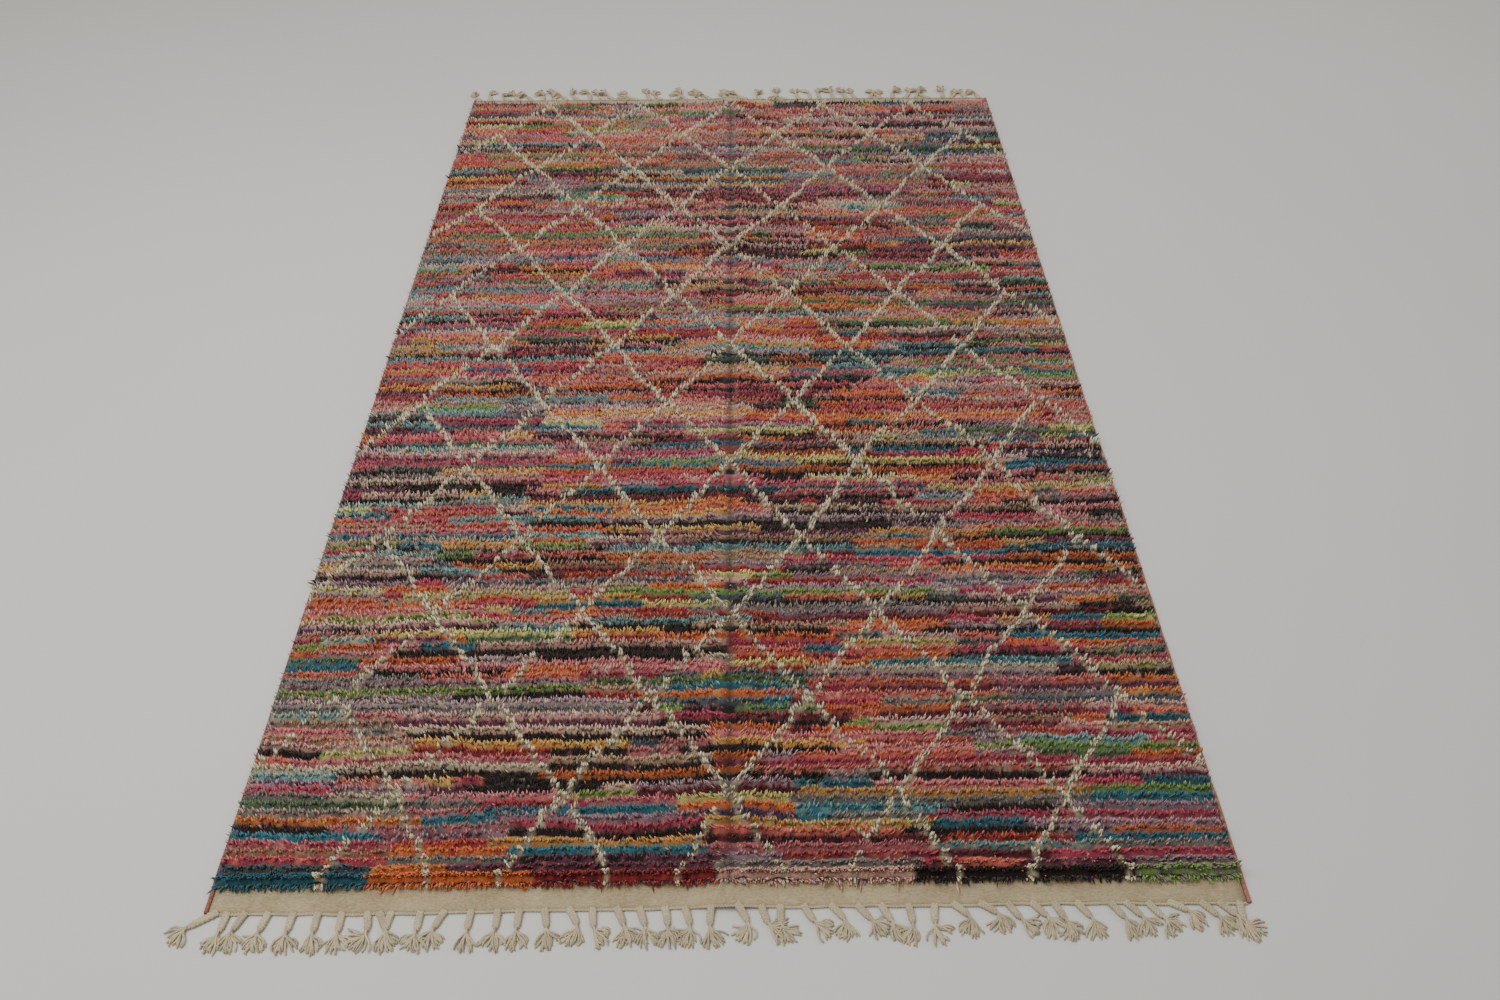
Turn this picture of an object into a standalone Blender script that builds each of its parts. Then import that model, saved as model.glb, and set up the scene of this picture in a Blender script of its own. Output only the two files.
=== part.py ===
"""A hand-knotted trellis rug, laid flat, with two flat-woven ends and braided tassels.

Units are metres. X runs across the rug, Y along it, Z up, and the floor is z = 0.
The end at -Y is called the near end. The pieces are the ground weave with its two
flat-woven ends, the knotted pile, an overcast cord down each long side, and at each
end a twined edge strip with its row of braided tassels.
"""

import math
import random

import bmesh
import bpy
import numpy as np
from mathutils import Vector, noise

# Whole rug
RUG_WIDTH = 1.520
WEAVE_LENGTH = 2.440
GAP = 0.0003
END_BAND = 0.044

# Finishes: red, green and blue, roughness
UNDYED_WOOL = (0.50, 0.43, 0.32), 0.92
DYED_PILE = (0.30, 0.12, 0.10), 0.95
SALMON_WOOL = (0.42, 0.15, 0.12), 0.90
CREAM_YARN = (0.62, 0.55, 0.42), 0.90

# Wavers of the outline: how many noise cells to a metre, what makes a cell's peak about 1
WAVE_CELLS = 3.1
WAVE_GAIN = 1.6
WAVE_SEED = 11

# Ground weave
WEAVE_THICKNESS = 0.0025
WEAVE_COLUMNS = (0.0, 0.022, 0.055, 0.16, 0.28, 0.40, 0.52, 0.64)
WEAVE_STATIONS = 10
SIDE_WAVE = 0.0018
END_WAVE = 0.0022

# Lengthwise fold: distance from the centre line, height of the cloth over the floor
FOLD_OFFSET, FOLD_LIFT = zip(
    (0.000, 0.0090),
    (0.022, 0.0055),
    (0.055, 0.0000),
)

# Overcast side cords
CORD_SIDES = 6
CORD_WIDTH = 0.0074
CORD_STATIONS = 28

# Pile
PILE_ROWS = 152
PILE_HEIGHT = 0.0165
PILE_COLUMNS = (0.0, 0.022, 0.055, 0.27, 0.52)
ROW_STEP = 0.0036
CREST_PLACE = 0.30
ROW_WANDER = 0.20
TUFT_JITTER = 0.0010
PILE_SEED = 5
PARTING_WIDTH = 0.030
PARTING_DEPTH = 0.0050
SIDE_MARGIN = 0.002
RIM_WALL = 0.0070
CREST_REACH, CREST_WALL = 0.0045, 0.0077
FOOT_REACH, FOOT_WALL = 0.0010, 0.0063
NEAR_OVERHANG = 0.006
LINE_NEAR_ENOUGH = 0.001

# Lumps of the pile's surface: noise cells to a metre, height, place in the noise
LUMPS = (
    (4.2, 0.0030, 1.0),
    (15.0, 0.0013, 5.0),
)

# Locks of pile that hang over the near flat-woven end
RIM_LOCKS = 38
LOCK_REACH = (0.008, 0.018)
LOCK_SWAY = 0.005
LOCK_TIP_WIDTH = (0.006, 0.013)
LOCK_TIP_HEIGHT = 0.0026
RIM_JITTER = 0.0035

# Fringe
STRIP_DEPTH = 0.0045
STRIP_HEIGHT = 0.0040
FIRST_TASSEL = 0.010
CORNER_MARGIN = 0.001
NEAR_TASSELS, NEAR_SEED = 45, 21
FAR_TASSELS, FAR_SEED = 42, 34
TASSEL_JITTER = 0.0015
LOCKS_PER_TASSEL = 3
LOCK_LENGTH = (0.022, 0.028)
LOCK_SPLAY = math.radians(14)
LOCK_END = 0.0060
LOCK_END_HEIGHT = 0.0030

# A tassel's braided stem: distance from the strip, width, height, share of the fold's lift kept
STEM_PLACE, STEM_WIDTH, STEM_HEIGHT, STEM_LIFT = zip(
    (0.014, 0.0110, 0.0062, 0.40),
    (0.027, 0.0078, 0.0052, 0.00),
    (0.032, 0.0125, 0.0056, 0.00),
)

# How the tassels lie: place across from left to right, lean to the right in degrees
NEAR_PLACE, NEAR_LEAN = zip(
    (0.00, -34.0),
    (0.03, -12.0),
    (0.25, -9.0),
    (0.48, 0.0),
    (0.68, 12.0),
    (0.88, 26.0),
    (1.00, 38.0),
)
FAR_PLACE, FAR_LEAN = zip(
    (0.00, -36.0),
    (0.08, -10.0),
    (0.35, 8.0),
    (0.55, -6.0),
    (0.80, 10.0),
    (1.00, 22.0),
)
LEAN_JITTER = 3.0

NEAR, FAR = -1, 1
LEFT, RIGHT = -1, 1


def clear_scene():
    """Removes every object, so that the model starts from nothing."""
    for obj in list(bpy.data.objects):
        bpy.data.objects.remove(obj)


def make_material(name, finish):
    """A plain cloth or wool finish."""
    colour, roughness = finish
    material = bpy.data.materials.new(name)
    material.use_nodes = True
    shader = material.node_tree.nodes["Principled BSDF"]
    shader.inputs["Base Color"].default_value = (*colour, 1.0)
    shader.inputs["Roughness"].default_value = roughness
    shader.inputs["Metallic"].default_value = 0.0
    return material


def make_object(name, bm, material):
    """Turns a bmesh into a named object with outward faces."""
    bmesh.ops.recalc_face_normals(bm, faces=bm.faces)
    bmesh.ops.triangulate(bm, faces=bm.faces)
    mesh = bpy.data.meshes.new(name)
    bm.to_mesh(mesh)
    bm.free()
    mesh.materials.append(material)
    obj = bpy.data.objects.new(name, mesh)
    bpy.context.scene.collection.objects.link(obj)
    return obj


def mirrored(places):
    """The same places on both sides of the centre line, from left to right."""
    return [-place for place in reversed(places) if place > 0] + list(places)


def fold_lift(x):
    """Height of the cloth over the floor at x, from the soft lengthwise fold."""
    return float(np.interp(abs(x), FOLD_OFFSET, FOLD_LIFT))


def uneven(place, seed, height):
    """A smooth in-and-out of about the given height, from one end of a line to the other."""
    return height * WAVE_GAIN * noise.noise(Vector((place * WAVE_CELLS, seed * math.e, WAVE_SEED)))


def weave_half_width():
    """From the centre line to the weave's edge, inside the side cord."""
    return RUG_WIDTH / 2 - CORD_WIDTH - GAP


def weave_columns():
    """Places across the weave, from its left edge to its right edge."""
    return mirrored((*WEAVE_COLUMNS, weave_half_width()))


def weave_stations():
    """Places along the weave, from the near edge to the far edge."""
    return list(np.linspace(-WEAVE_LENGTH / 2, WEAVE_LENGTH / 2, WEAVE_STATIONS))


def end_line(end, x):
    """Y of the weave's near or far edge at x."""
    columns = weave_columns()
    line = [end * WEAVE_LENGTH / 2 + uneven(column, end, END_WAVE) for column in columns]
    return float(np.interp(x, columns, line))


def side_shift(side, y):
    """How far the weave's left or right edge stands off its straight line at y."""
    stations = weave_stations()
    shifts = [uneven(station, 3 + side, SIDE_WAVE) for station in stations]
    return float(np.interp(y, stations, shifts))


def place_across(x, y):
    """X of a point of the cloth, which follows the waver of the side that is nearer."""
    share = abs(x) / (RUG_WIDTH / 2)
    return x + share ** 2 * side_shift(RIGHT if x > 0 else LEFT, y)


def grid_of(columns, rows):
    """A flat grid with a point for each column and row, and the column and row of each point."""
    bm = bmesh.new()
    across, along = len(columns) - 1, len(rows) - 1
    bmesh.ops.create_grid(bm, x_segments=across, y_segments=along, size=0.5)
    index = {}
    for vert in bm.verts:
        index[vert] = (round((vert.co.x + 0.5) * across), round((vert.co.y + 0.5) * along))
    return bm, index


def ground_weave():
    """One woven cloth from edge to edge, with both flat-woven ends and the soft fold."""
    columns, stations = weave_columns(), weave_stations()
    bm, index = grid_of(columns, stations)
    for vert, (column, row) in index.items():
        x, y = columns[column], stations[row]
        if row == 0:
            y = end_line(NEAR, x)
        if row == len(stations) - 1:
            y = end_line(FAR, x)
        vert.co = (place_across(x, y), y, fold_lift(x))
    raised = bmesh.ops.extrude_face_region(bm, geom=bm.faces[:])["geom"]
    tops = [item for item in raised if isinstance(item, bmesh.types.BMVert)]
    bmesh.ops.translate(bm, vec=(0, 0, WEAVE_THICKNESS), verts=tops)
    return make_object("ground_weave", bm, make_material("undyed_wool_weave", UNDYED_WOOL))


def grow_face(bm, face):
    """Draws a face out of its mesh and returns the face at the new end."""
    return bmesh.ops.extrude_discrete_faces(bm, faces=[face])["faces"][0]


def side_cord(name, side):
    """The wool cord that is overcast along one long side, lying on the floor beside the weave."""
    bm = bmesh.new()
    radius = CORD_WIDTH / 2
    bmesh.ops.create_circle(bm, cap_ends=True, segments=CORD_SIDES, radius=radius)
    edge = side * RUG_WIDTH / 2
    stations = np.linspace(end_line(NEAR, edge), end_line(FAR, edge), CORD_STATIONS)
    centres = []
    for y in stations:
        x = place_across(side * weave_half_width(), y) + side * (radius + GAP)
        centres.append(Vector((x, y, radius * math.cos(math.pi / CORD_SIDES))))
    for vert in bm.verts:
        vert.co = centres[0] + Vector((vert.co.y, 0, vert.co.x))
    start = bm.faces[:][0]
    grown = bmesh.ops.extrude_face_region(bm, geom=[start])["geom"]
    face = next(item for item in grown if isinstance(item, bmesh.types.BMFace))
    bmesh.ops.translate(bm, vec=centres[1] - centres[0], verts=face.verts[:])
    for before, after in zip(centres[1:], centres[2:]):
        face = grow_face(bm, face)
        bmesh.ops.translate(bm, vec=after - before, verts=face.verts[:])
    cord = make_object(name, bm, make_material(name + "_wool", SALMON_WOOL))
    cord.data.shade_smooth()
    return cord


def pile_rows():
    """Y of each line of the pile's grid: the foot and the crest of every row of knots."""
    near = -WEAVE_LENGTH / 2 + END_BAND
    pitch = (WEAVE_LENGTH - 2 * END_BAND) / PILE_ROWS
    lines = []
    for row in range(PILE_ROWS):
        lines += [near + row * pitch, near + (row + CREST_PLACE) * pitch]
    return lines, pitch


def pile_base(x):
    """Height of the pile's underside, just clear of the weave."""
    return WEAVE_THICKNESS + GAP + fold_lift(x)


def pile_top(x, y, crest):
    """Height of the pile's surface over the floor, at the foot or the crest of a row."""
    thick = PILE_HEIGHT + (ROW_STEP / 2 if crest else -ROW_STEP / 2)
    for cells, height, place in LUMPS:
        thick += height * noise.noise(Vector((x * cells, y * cells, place)))
    return pile_base(x) + thick - PARTING_DEPTH * max(0.0, 1 - abs(x) / PARTING_WIDTH)


def shape_pile_top(index, columns, lines, pitch, dice):
    """Moves the grid's points into rows that lean like shingles, with a lumpy surface and a low rim."""
    last_column, last_line = len(columns) - 1, len(lines) - 1
    wander = 0.0
    for vert, (column, line) in sorted(index.items(), key=lambda item: item[1]):
        x, y, crest = columns[column], lines[line], line % 2 == 1
        if not crest:
            wander = dice.uniform(-ROW_WANDER, ROW_WANDER) * pitch
        if 1 < line < last_line - 1:
            y += wander
        z = pile_top(x, y, crest) + dice.uniform(-TUFT_JITTER, TUFT_JITTER)
        if column in (0, last_column):
            x += math.copysign(CREST_REACH if crest else FOOT_REACH, x)
            z = pile_base(x) + (CREST_WALL if crest else FOOT_WALL)
        if line == 0:
            y += end_line(NEAR, x) + WEAVE_LENGTH / 2 - NEAR_OVERHANG
        if line == last_line:
            y += end_line(FAR, x) - WEAVE_LENGTH / 2
        if line in (0, last_line):
            z = pile_base(x) + RIM_WALL
        vert.co = (place_across(x, y), y, z)


def wall_down(bm, columns, lines):
    """Closes the pile below: a wall from its rim to the weave, and an underside that follows the fold."""
    rim = [edge for edge in bm.edges if edge.is_boundary]
    grown = bmesh.ops.extrude_edge_only(bm, edges=rim)["geom"]
    for foot in (item for item in grown if isinstance(item, bmesh.types.BMVert)):
        x, y, _ = foot.co
        if y < lines[0] + LINE_NEAR_ENOUGH:
            y = end_line(NEAR, x) + END_BAND
        if y > lines[-1] + end_line(FAR, x) - WEAVE_LENGTH / 2 - LINE_NEAR_ENOUGH:
            y = end_line(FAR, x) - END_BAND
        x = math.copysign(min(abs(x), columns[-1]), x)
        foot.co = (x, y, pile_base(x))
    loose = [edge for edge in bm.edges if edge.is_boundary]
    floor = bmesh.ops.contextual_create(bm, geom=loose)["faces"][0]
    for fold in mirrored(FOLD_OFFSET):
        ends = [vert for vert in floor.verts if abs(vert.co.x - fold) < LINE_NEAR_ENOUGH]
        first, second = min(ends, key=lambda vert: vert.co.y), max(ends, key=lambda vert: vert.co.y)
        parts = bmesh.utils.face_split(floor, first, second)
        floor = max((floor, parts[0]), key=lambda face: max(vert.co.x for vert in face.verts))


def near_wall_faces(bm):
    """The faces of the pile's wall that look at the near end, from left to right."""
    bm.normal_update()
    found = []
    for face in bm.faces:
        middle = face.calc_center_median()
        in_wall = middle.z < pile_base(middle.x) + RIM_WALL and middle.y < END_BAND - WEAVE_LENGTH / 2
        if in_wall and len(face.verts) == 4 and abs(face.normal.y) > abs(face.normal.x):
            found.append(face)
    return sorted(found, key=lambda face: face.calc_center_median().x)


def rim_locks(bm, dice):
    """Locks that hang over the near flat-woven end, each drawn out of a face of the near wall."""
    width = weave_half_width() / RIM_LOCKS
    for face in near_wall_faces(bm):
        level = [edge for edge in face.edges if abs(edge.verts[0].co.x - edge.verts[1].co.x) > RIM_WALL]
        cuts = max(0, round(level[0].calc_length() / width) - 1)
        if cuts:
            inner = bmesh.ops.subdivide_edges(bm, edges=level, cuts=cuts)["geom_inner"]
            for vert in (item for item in inner if isinstance(item, bmesh.types.BMVert)):
                if vert.co.z > pile_base(vert.co.x) + GAP:
                    vert.co.y += dice.uniform(-RIM_JITTER, RIM_JITTER)
    for face in near_wall_faces(bm)[::2][:RIM_LOCKS]:
        root = face.calc_center_median()
        lock = grow_face(bm, face)
        reach, sway = dice.uniform(*LOCK_REACH), dice.uniform(-LOCK_SWAY, LOCK_SWAY)
        half = dice.uniform(*LOCK_TIP_WIDTH) / 2
        for vert in lock.verts:
            right = 1 if vert.co.x > root.x else -1
            above = vert.co.z > root.z
            x = root.x + sway + right * half
            z = pile_base(x) + GAP + (LOCK_TIP_HEIGHT if above else 0.0)
            vert.co = (x, root.y - reach, z)


def pile_field():
    """The knotted pile as one lumpy slab: its rows, its parting over the fold and its rim."""
    dice = random.Random(PILE_SEED)
    columns = mirrored((*PILE_COLUMNS, weave_half_width() - SIDE_MARGIN))
    lines, pitch = pile_rows()
    bm, index = grid_of(columns, lines)
    shape_pile_top(index, columns, lines, pitch, dice)
    wall_down(bm, columns, lines)
    rim_locks(bm, dice)
    return make_object("pile_field", bm, make_material("dyed_wool_pile", DYED_PILE))


def set_section(face, centre, heading, width, base, height):
    """Moves the four corners of a strand's end face to its next section, level with the floor."""
    across = Vector((-heading.y, heading.x, 0))
    middle = face.calc_center_median()
    for vert in face.verts:
        side = 1 if (vert.co - middle).dot(across) > 0 else -1
        level = base + (height if vert.co.z > middle.z else 0.0)
        spot = centre + across * (side * width / 2)
        vert.co = (spot.x, spot.y, level)


def grow_tassel(bm, face, lean, end, dice):
    """One tassel: a braided stem out of the twined strip, then locks that stand apart."""
    heading = Vector((math.sin(lean), end * math.cos(lean), 0))
    room = math.cos(lean) ** 2
    root = face.calc_center_median()
    lift = fold_lift(root.x)
    for place, width, height, kept in zip(STEM_PLACE, STEM_WIDTH, STEM_HEIGHT, STEM_LIFT):
        face = grow_face(bm, face)
        centre = Vector((root.x, root.y, 0)) + heading * place
        set_section(face, centre, heading, width, lift * kept, height)
    level = [edge for edge in face.edges if abs(edge.verts[0].co.z - edge.verts[1].co.z) < GAP]
    cut = bmesh.ops.subdivide_edges(bm, edges=level, cuts=LOCKS_PER_TASSEL - 1)["geom_inner"]
    ends = {part for item in cut if isinstance(item, bmesh.types.BMVert) for part in item.link_faces}
    across = Vector((-heading.y, heading.x, 0))
    faces = [part for part in ends if all(abs((vert.co - centre).dot(heading)) < GAP for vert in part.verts)]
    faces.sort(key=lambda part: part.calc_center_median().dot(across))
    for number, part in enumerate(faces):
        turn = (number - (LOCKS_PER_TASSEL - 1) / 2) * LOCK_SPLAY * room
        aim = heading * math.cos(turn) + across * math.sin(turn)
        start = part.calc_center_median()
        tip = Vector((start.x, start.y, 0)) + aim * dice.uniform(*LOCK_LENGTH)
        set_section(grow_face(bm, part), tip, aim, LOCK_END * room, 0.0, LOCK_END_HEIGHT)


def fringe(name, end, tassels, places, leans, seed):
    """The twined edge strip of one end, with its row of tassels."""
    dice = random.Random(seed)
    half = weave_half_width()
    roots = np.linspace(-half + FIRST_TASSEL, half - FIRST_TASSEL, tassels)
    roots = [root + dice.uniform(-TASSEL_JITTER, TASSEL_JITTER) for root in roots]
    stem = STEM_WIDTH[0] / 2
    breaks = [-half]
    for root in roots:
        breaks += [max(root - stem, CORNER_MARGIN - half), min(root + stem, half - CORNER_MARGIN)]
    breaks.append(half)
    bm, index = grid_of(breaks, (0, 1))
    for vert, (column, row) in index.items():
        x = breaks[column]
        y = end_line(end, x) + end * (GAP + (STRIP_DEPTH if (row == 1) == (end == FAR) else 0.0))
        vert.co = (x, y, fold_lift(x))
    raised = bmesh.ops.extrude_face_region(bm, geom=bm.faces[:])["geom"]
    tops = [item for item in raised if isinstance(item, bmesh.types.BMVert)]
    bmesh.ops.translate(bm, vec=(0, 0, STRIP_HEIGHT), verts=tops)
    bmesh.ops.recalc_face_normals(bm, faces=bm.faces)
    outward = [face for face in bm.faces if face.normal.y * end > abs(face.normal.x) + abs(face.normal.z)]
    outward.sort(key=lambda face: face.calc_center_median().x)
    for number, face in enumerate(outward[1::2]):
        lean = float(np.interp(number / (tassels - 1), places, leans))
        lean = math.radians(lean + dice.uniform(-LEAN_JITTER, LEAN_JITTER))
        grow_tassel(bm, face, lean, end, dice)
    return make_object(name, bm, make_material(name + "_yarn", CREAM_YARN))


def build_rug():
    """Builds every piece of the rug."""
    clear_scene()
    ground_weave()
    pile_field()
    side_cord("selvedge_left", LEFT)
    side_cord("selvedge_right", RIGHT)
    fringe("fringe_near", NEAR, NEAR_TASSELS, NEAR_PLACE, NEAR_LEAN, NEAR_SEED)
    fringe("fringe_far", FAR, FAR_TASSELS, FAR_PLACE, FAR_LEAN, FAR_SEED)


build_rug()
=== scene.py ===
"""Looks of a hand-knotted shag rug with an open lattice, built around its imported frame.

The wool pile stands in rows of tufts on a flat-woven ground. Its two sides are overcast with a
pink cord and its two ends carry a twined edge and braided tassels. Lengths are in metres, X runs
across the rug, Y away from the near end and Z up from the floor.
"""

from __future__ import annotations

import logging
import math
from dataclasses import dataclass, field
from enum import Enum

import bmesh
import bpy
import numpy as np
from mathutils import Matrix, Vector, noise


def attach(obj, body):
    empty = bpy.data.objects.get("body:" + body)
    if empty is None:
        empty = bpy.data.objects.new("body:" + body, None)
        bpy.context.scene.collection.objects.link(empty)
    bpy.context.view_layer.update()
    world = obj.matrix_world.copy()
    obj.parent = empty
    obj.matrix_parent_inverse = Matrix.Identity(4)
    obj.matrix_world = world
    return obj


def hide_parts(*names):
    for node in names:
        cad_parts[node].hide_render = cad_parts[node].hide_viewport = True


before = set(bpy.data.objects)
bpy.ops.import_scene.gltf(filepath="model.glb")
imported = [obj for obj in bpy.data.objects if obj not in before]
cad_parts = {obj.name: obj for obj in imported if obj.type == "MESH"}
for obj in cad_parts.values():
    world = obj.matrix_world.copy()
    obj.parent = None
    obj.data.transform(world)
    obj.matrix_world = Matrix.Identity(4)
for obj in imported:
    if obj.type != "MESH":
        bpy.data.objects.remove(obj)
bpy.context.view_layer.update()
LOG = logging.getLogger("rug")

BODY = "root"
PHOTO_WIDTH = 1500

# The rug's own measures, as in the CAD part

RUG_WIDTH = 1.520
RUG_LENGTH = 2.440
END_BAND = 0.044
CORD_WIDTH = 0.0074
CORD_GAP = 0.0003
WEAVE_THICKNESS = 0.0025
FOLD_OFFSET = (0.0, 0.022, 0.055)
FOLD_LIFT = (0.009, 0.0055, 0.0)
WAVE_CELLS = 3.1
WAVE_GAIN = 1.6
WAVE_SEED = 11
SIDE_WAVE = 0.0018
END_WAVE = 0.0022
WAVE_STATIONS = 10
HALF_WEAVE = RUG_WIDTH / 2 - CORD_WIDTH - CORD_GAP

# Rows of tufts along the pile, closer together than the rows of the CAD part's slab
PILE_ROWS = 184


class End(Enum):
    """The two short ends of the rug, with their sign along Y."""

    NEAR = -1
    FAR = 1


class Side(Enum):
    """The two long sides of the rug, with their sign along X."""

    LEFT = -1
    RIGHT = 1


class Yarn(Enum):
    """The dyed wool of the pile, as sRGB colours from 0 to 255."""

    ROSE = (176, 69, 86)
    PINK = (197, 116, 116)
    BLUSH = (204, 159, 141)
    SALMON = (204, 108, 90)
    RED = (165, 56, 53)
    MAROON = (110, 40, 46)
    ORANGE = (203, 108, 56)
    AMBER = (208, 150, 79)
    YELLOW = (208, 195, 118)
    LIME = (122, 150, 74)
    GREEN = (91, 110, 75)
    TEAL = (52, 109, 120)
    AQUA = (119, 154, 148)
    SLATE = (89, 96, 96)
    GREY = (131, 123, 114)
    LAVENDER = (159, 129, 134)
    PLUM = (116, 65, 78)
    PURPLE = (82, 54, 80)
    TAN = (175, 140, 110)
    SAND = (193, 175, 145)
    DARK = (44, 29, 22)
    CREAM = (221, 202, 168)


# How much of the pile each yarn makes up, and the yarns that it is mixed with in a heathered run
YARN_SHARE = {
    Yarn.ROSE: 10.0,
    Yarn.PINK: 13.0,
    Yarn.BLUSH: 10.0,
    Yarn.SALMON: 10.5,
    Yarn.RED: 4.5,
    Yarn.MAROON: 5.0,
    Yarn.ORANGE: 8.0,
    Yarn.AMBER: 6.5,
    Yarn.YELLOW: 3.0,
    Yarn.LIME: 3.2,
    Yarn.GREEN: 3.2,
    Yarn.TEAL: 5.0,
    Yarn.AQUA: 3.2,
    Yarn.SLATE: 3.0,
    Yarn.GREY: 6.5,
    Yarn.LAVENDER: 6.0,
    Yarn.PLUM: 4.0,
    Yarn.PURPLE: 1.0,
    Yarn.TAN: 5.5,
    Yarn.SAND: 2.5,
    Yarn.DARK: 11.0,
}
PARTNERS = {
    Yarn.ROSE: (Yarn.PINK, Yarn.MAROON, Yarn.SALMON),
    Yarn.PINK: (Yarn.BLUSH, Yarn.GREY, Yarn.ROSE),
    Yarn.BLUSH: (Yarn.SAND, Yarn.LAVENDER, Yarn.PINK),
    Yarn.SALMON: (Yarn.ORANGE, Yarn.RED, Yarn.BLUSH),
    Yarn.RED: (Yarn.MAROON, Yarn.ROSE, Yarn.ORANGE),
    Yarn.MAROON: (Yarn.PLUM, Yarn.DARK, Yarn.ROSE),
    Yarn.ORANGE: (Yarn.AMBER, Yarn.SALMON, Yarn.RED),
    Yarn.AMBER: (Yarn.ORANGE, Yarn.YELLOW, Yarn.TAN),
    Yarn.YELLOW: (Yarn.LIME, Yarn.SAND, Yarn.AMBER),
    Yarn.LIME: (Yarn.GREEN, Yarn.YELLOW, Yarn.GREY),
    Yarn.GREEN: (Yarn.LIME, Yarn.DARK, Yarn.TEAL),
    Yarn.TEAL: (Yarn.AQUA, Yarn.SLATE, Yarn.TEAL),
    Yarn.AQUA: (Yarn.TEAL, Yarn.GREY, Yarn.SAND),
    Yarn.SLATE: (Yarn.GREY, Yarn.LAVENDER, Yarn.TEAL),
    Yarn.GREY: (Yarn.BLUSH, Yarn.SLATE, Yarn.PLUM),
    Yarn.LAVENDER: (Yarn.PURPLE, Yarn.SAND, Yarn.PLUM),
    Yarn.PLUM: (Yarn.LAVENDER, Yarn.DARK, Yarn.PINK),
    Yarn.PURPLE: (Yarn.LAVENDER, Yarn.SAND, Yarn.SLATE),
    Yarn.TAN: (Yarn.SAND, Yarn.SALMON, Yarn.GREY),
    Yarn.SAND: (Yarn.BLUSH, Yarn.TAN, Yarn.LAVENDER),
    Yarn.DARK: (Yarn.DARK, Yarn.PLUM, Yarn.GREY),
    Yarn.CREAM: (Yarn.CREAM,),
}

# The rows at the near end, from left to right: each run's yarn and where it stops across the rug
NEAR_ROWS = (
    ((Yarn.TEAL, -0.53), (Yarn.ORANGE, -0.29), (Yarn.RED, -0.015), (Yarn.BLUSH, 0.275),
     (Yarn.DARK, 0.595), (Yarn.LIME, 0.76)),
    ((Yarn.SLATE, -0.53), (Yarn.ORANGE, -0.42), (Yarn.PLUM, -0.02), (Yarn.GREY, 0.28),
     (Yarn.ROSE, 0.34), (Yarn.SALMON, 0.44), (Yarn.PLUM, 0.60), (Yarn.LAVENDER, 0.76)),
    ((Yarn.ROSE, -0.51), (Yarn.GREY, -0.32), (Yarn.PLUM, -0.02), (Yarn.LAVENDER, 0.08),
     (Yarn.ROSE, 0.31), (Yarn.MAROON, 0.48), (Yarn.ROSE, 0.76)),
    ((Yarn.TAN, -0.50), (Yarn.ORANGE, -0.33), (Yarn.TEAL, -0.04), (Yarn.PINK, 0.31),
     (Yarn.AQUA, 0.54), (Yarn.GREY, 0.76)),
    ((Yarn.ROSE, -0.50), (Yarn.RED, -0.36), (Yarn.AMBER, -0.04), (Yarn.MAROON, 0.32),
     (Yarn.RED, 0.52), (Yarn.TEAL, 0.76)),
    ((Yarn.TEAL, -0.53), (Yarn.LAVENDER, -0.33), (Yarn.DARK, -0.03), (Yarn.SALMON, 0.26),
     (Yarn.DARK, 0.50), (Yarn.LAVENDER, 0.58), (Yarn.ORANGE, 0.76)),
    ((Yarn.DARK, -0.61), (Yarn.PINK, -0.33), (Yarn.ROSE, -0.04), (Yarn.AMBER, 0.31),
     (Yarn.TEAL, 0.45), (Yarn.LAVENDER, 0.76)),
    ((Yarn.ORANGE, -0.47), (Yarn.TEAL, -0.36), (Yarn.LAVENDER, -0.04), (Yarn.PURPLE, 0.10),
     (Yarn.TEAL, 0.15), (Yarn.GREY, 0.30), (Yarn.ROSE, 0.76)),
    ((Yarn.GREY, -0.50), (Yarn.PINK, -0.38), (Yarn.TEAL, -0.08), (Yarn.ORANGE, 0.10),
     (Yarn.TEAL, 0.33), (Yarn.DARK, 0.50), (Yarn.LAVENDER, 0.76)),
)


def linear(colour: tuple[float, float, float]) -> np.ndarray:
    """Turn an sRGB colour from 0 to 255 into linear light from 0 to 1."""
    share = np.asarray(colour, float) / 255
    return np.where(share <= 0.04045, share / 12.92, ((share + 0.055) / 1.055) ** 2.4)


def rgba(colour: tuple[float, float, float]) -> tuple[float, float, float, float]:
    """Give an sRGB colour from 0 to 255 as a shader's linear colour."""
    return (*linear(colour), 1.0)


# Shapes of the cloth that every piece shares

def fold_lift(x: np.ndarray) -> np.ndarray:
    """Give the cloth's height over the floor at x, from the soft lengthwise fold."""
    return np.interp(np.abs(x), FOLD_OFFSET, FOLD_LIFT)


def uneven(place: float, seed: float, height: float) -> float:
    """Give a smooth in-and-out of about the given height along a line."""
    where = Vector((place * WAVE_CELLS, seed * math.e, WAVE_SEED))
    return height * WAVE_GAIN * noise.noise(where)


def end_line(end: End, x: np.ndarray) -> np.ndarray:
    """Give Y of the weave's edge at one end.

    Args:
        end: The short end.
        x: Places across the rug.

    Returns:
        Y at each place, with the edge's slight waver.
    """
    columns = np.linspace(-HALF_WEAVE, HALF_WEAVE, 17)
    line = [end.value * RUG_LENGTH / 2 + uneven(column, end.value, END_WAVE) for column in columns]
    return np.interp(x, columns, line)


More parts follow.
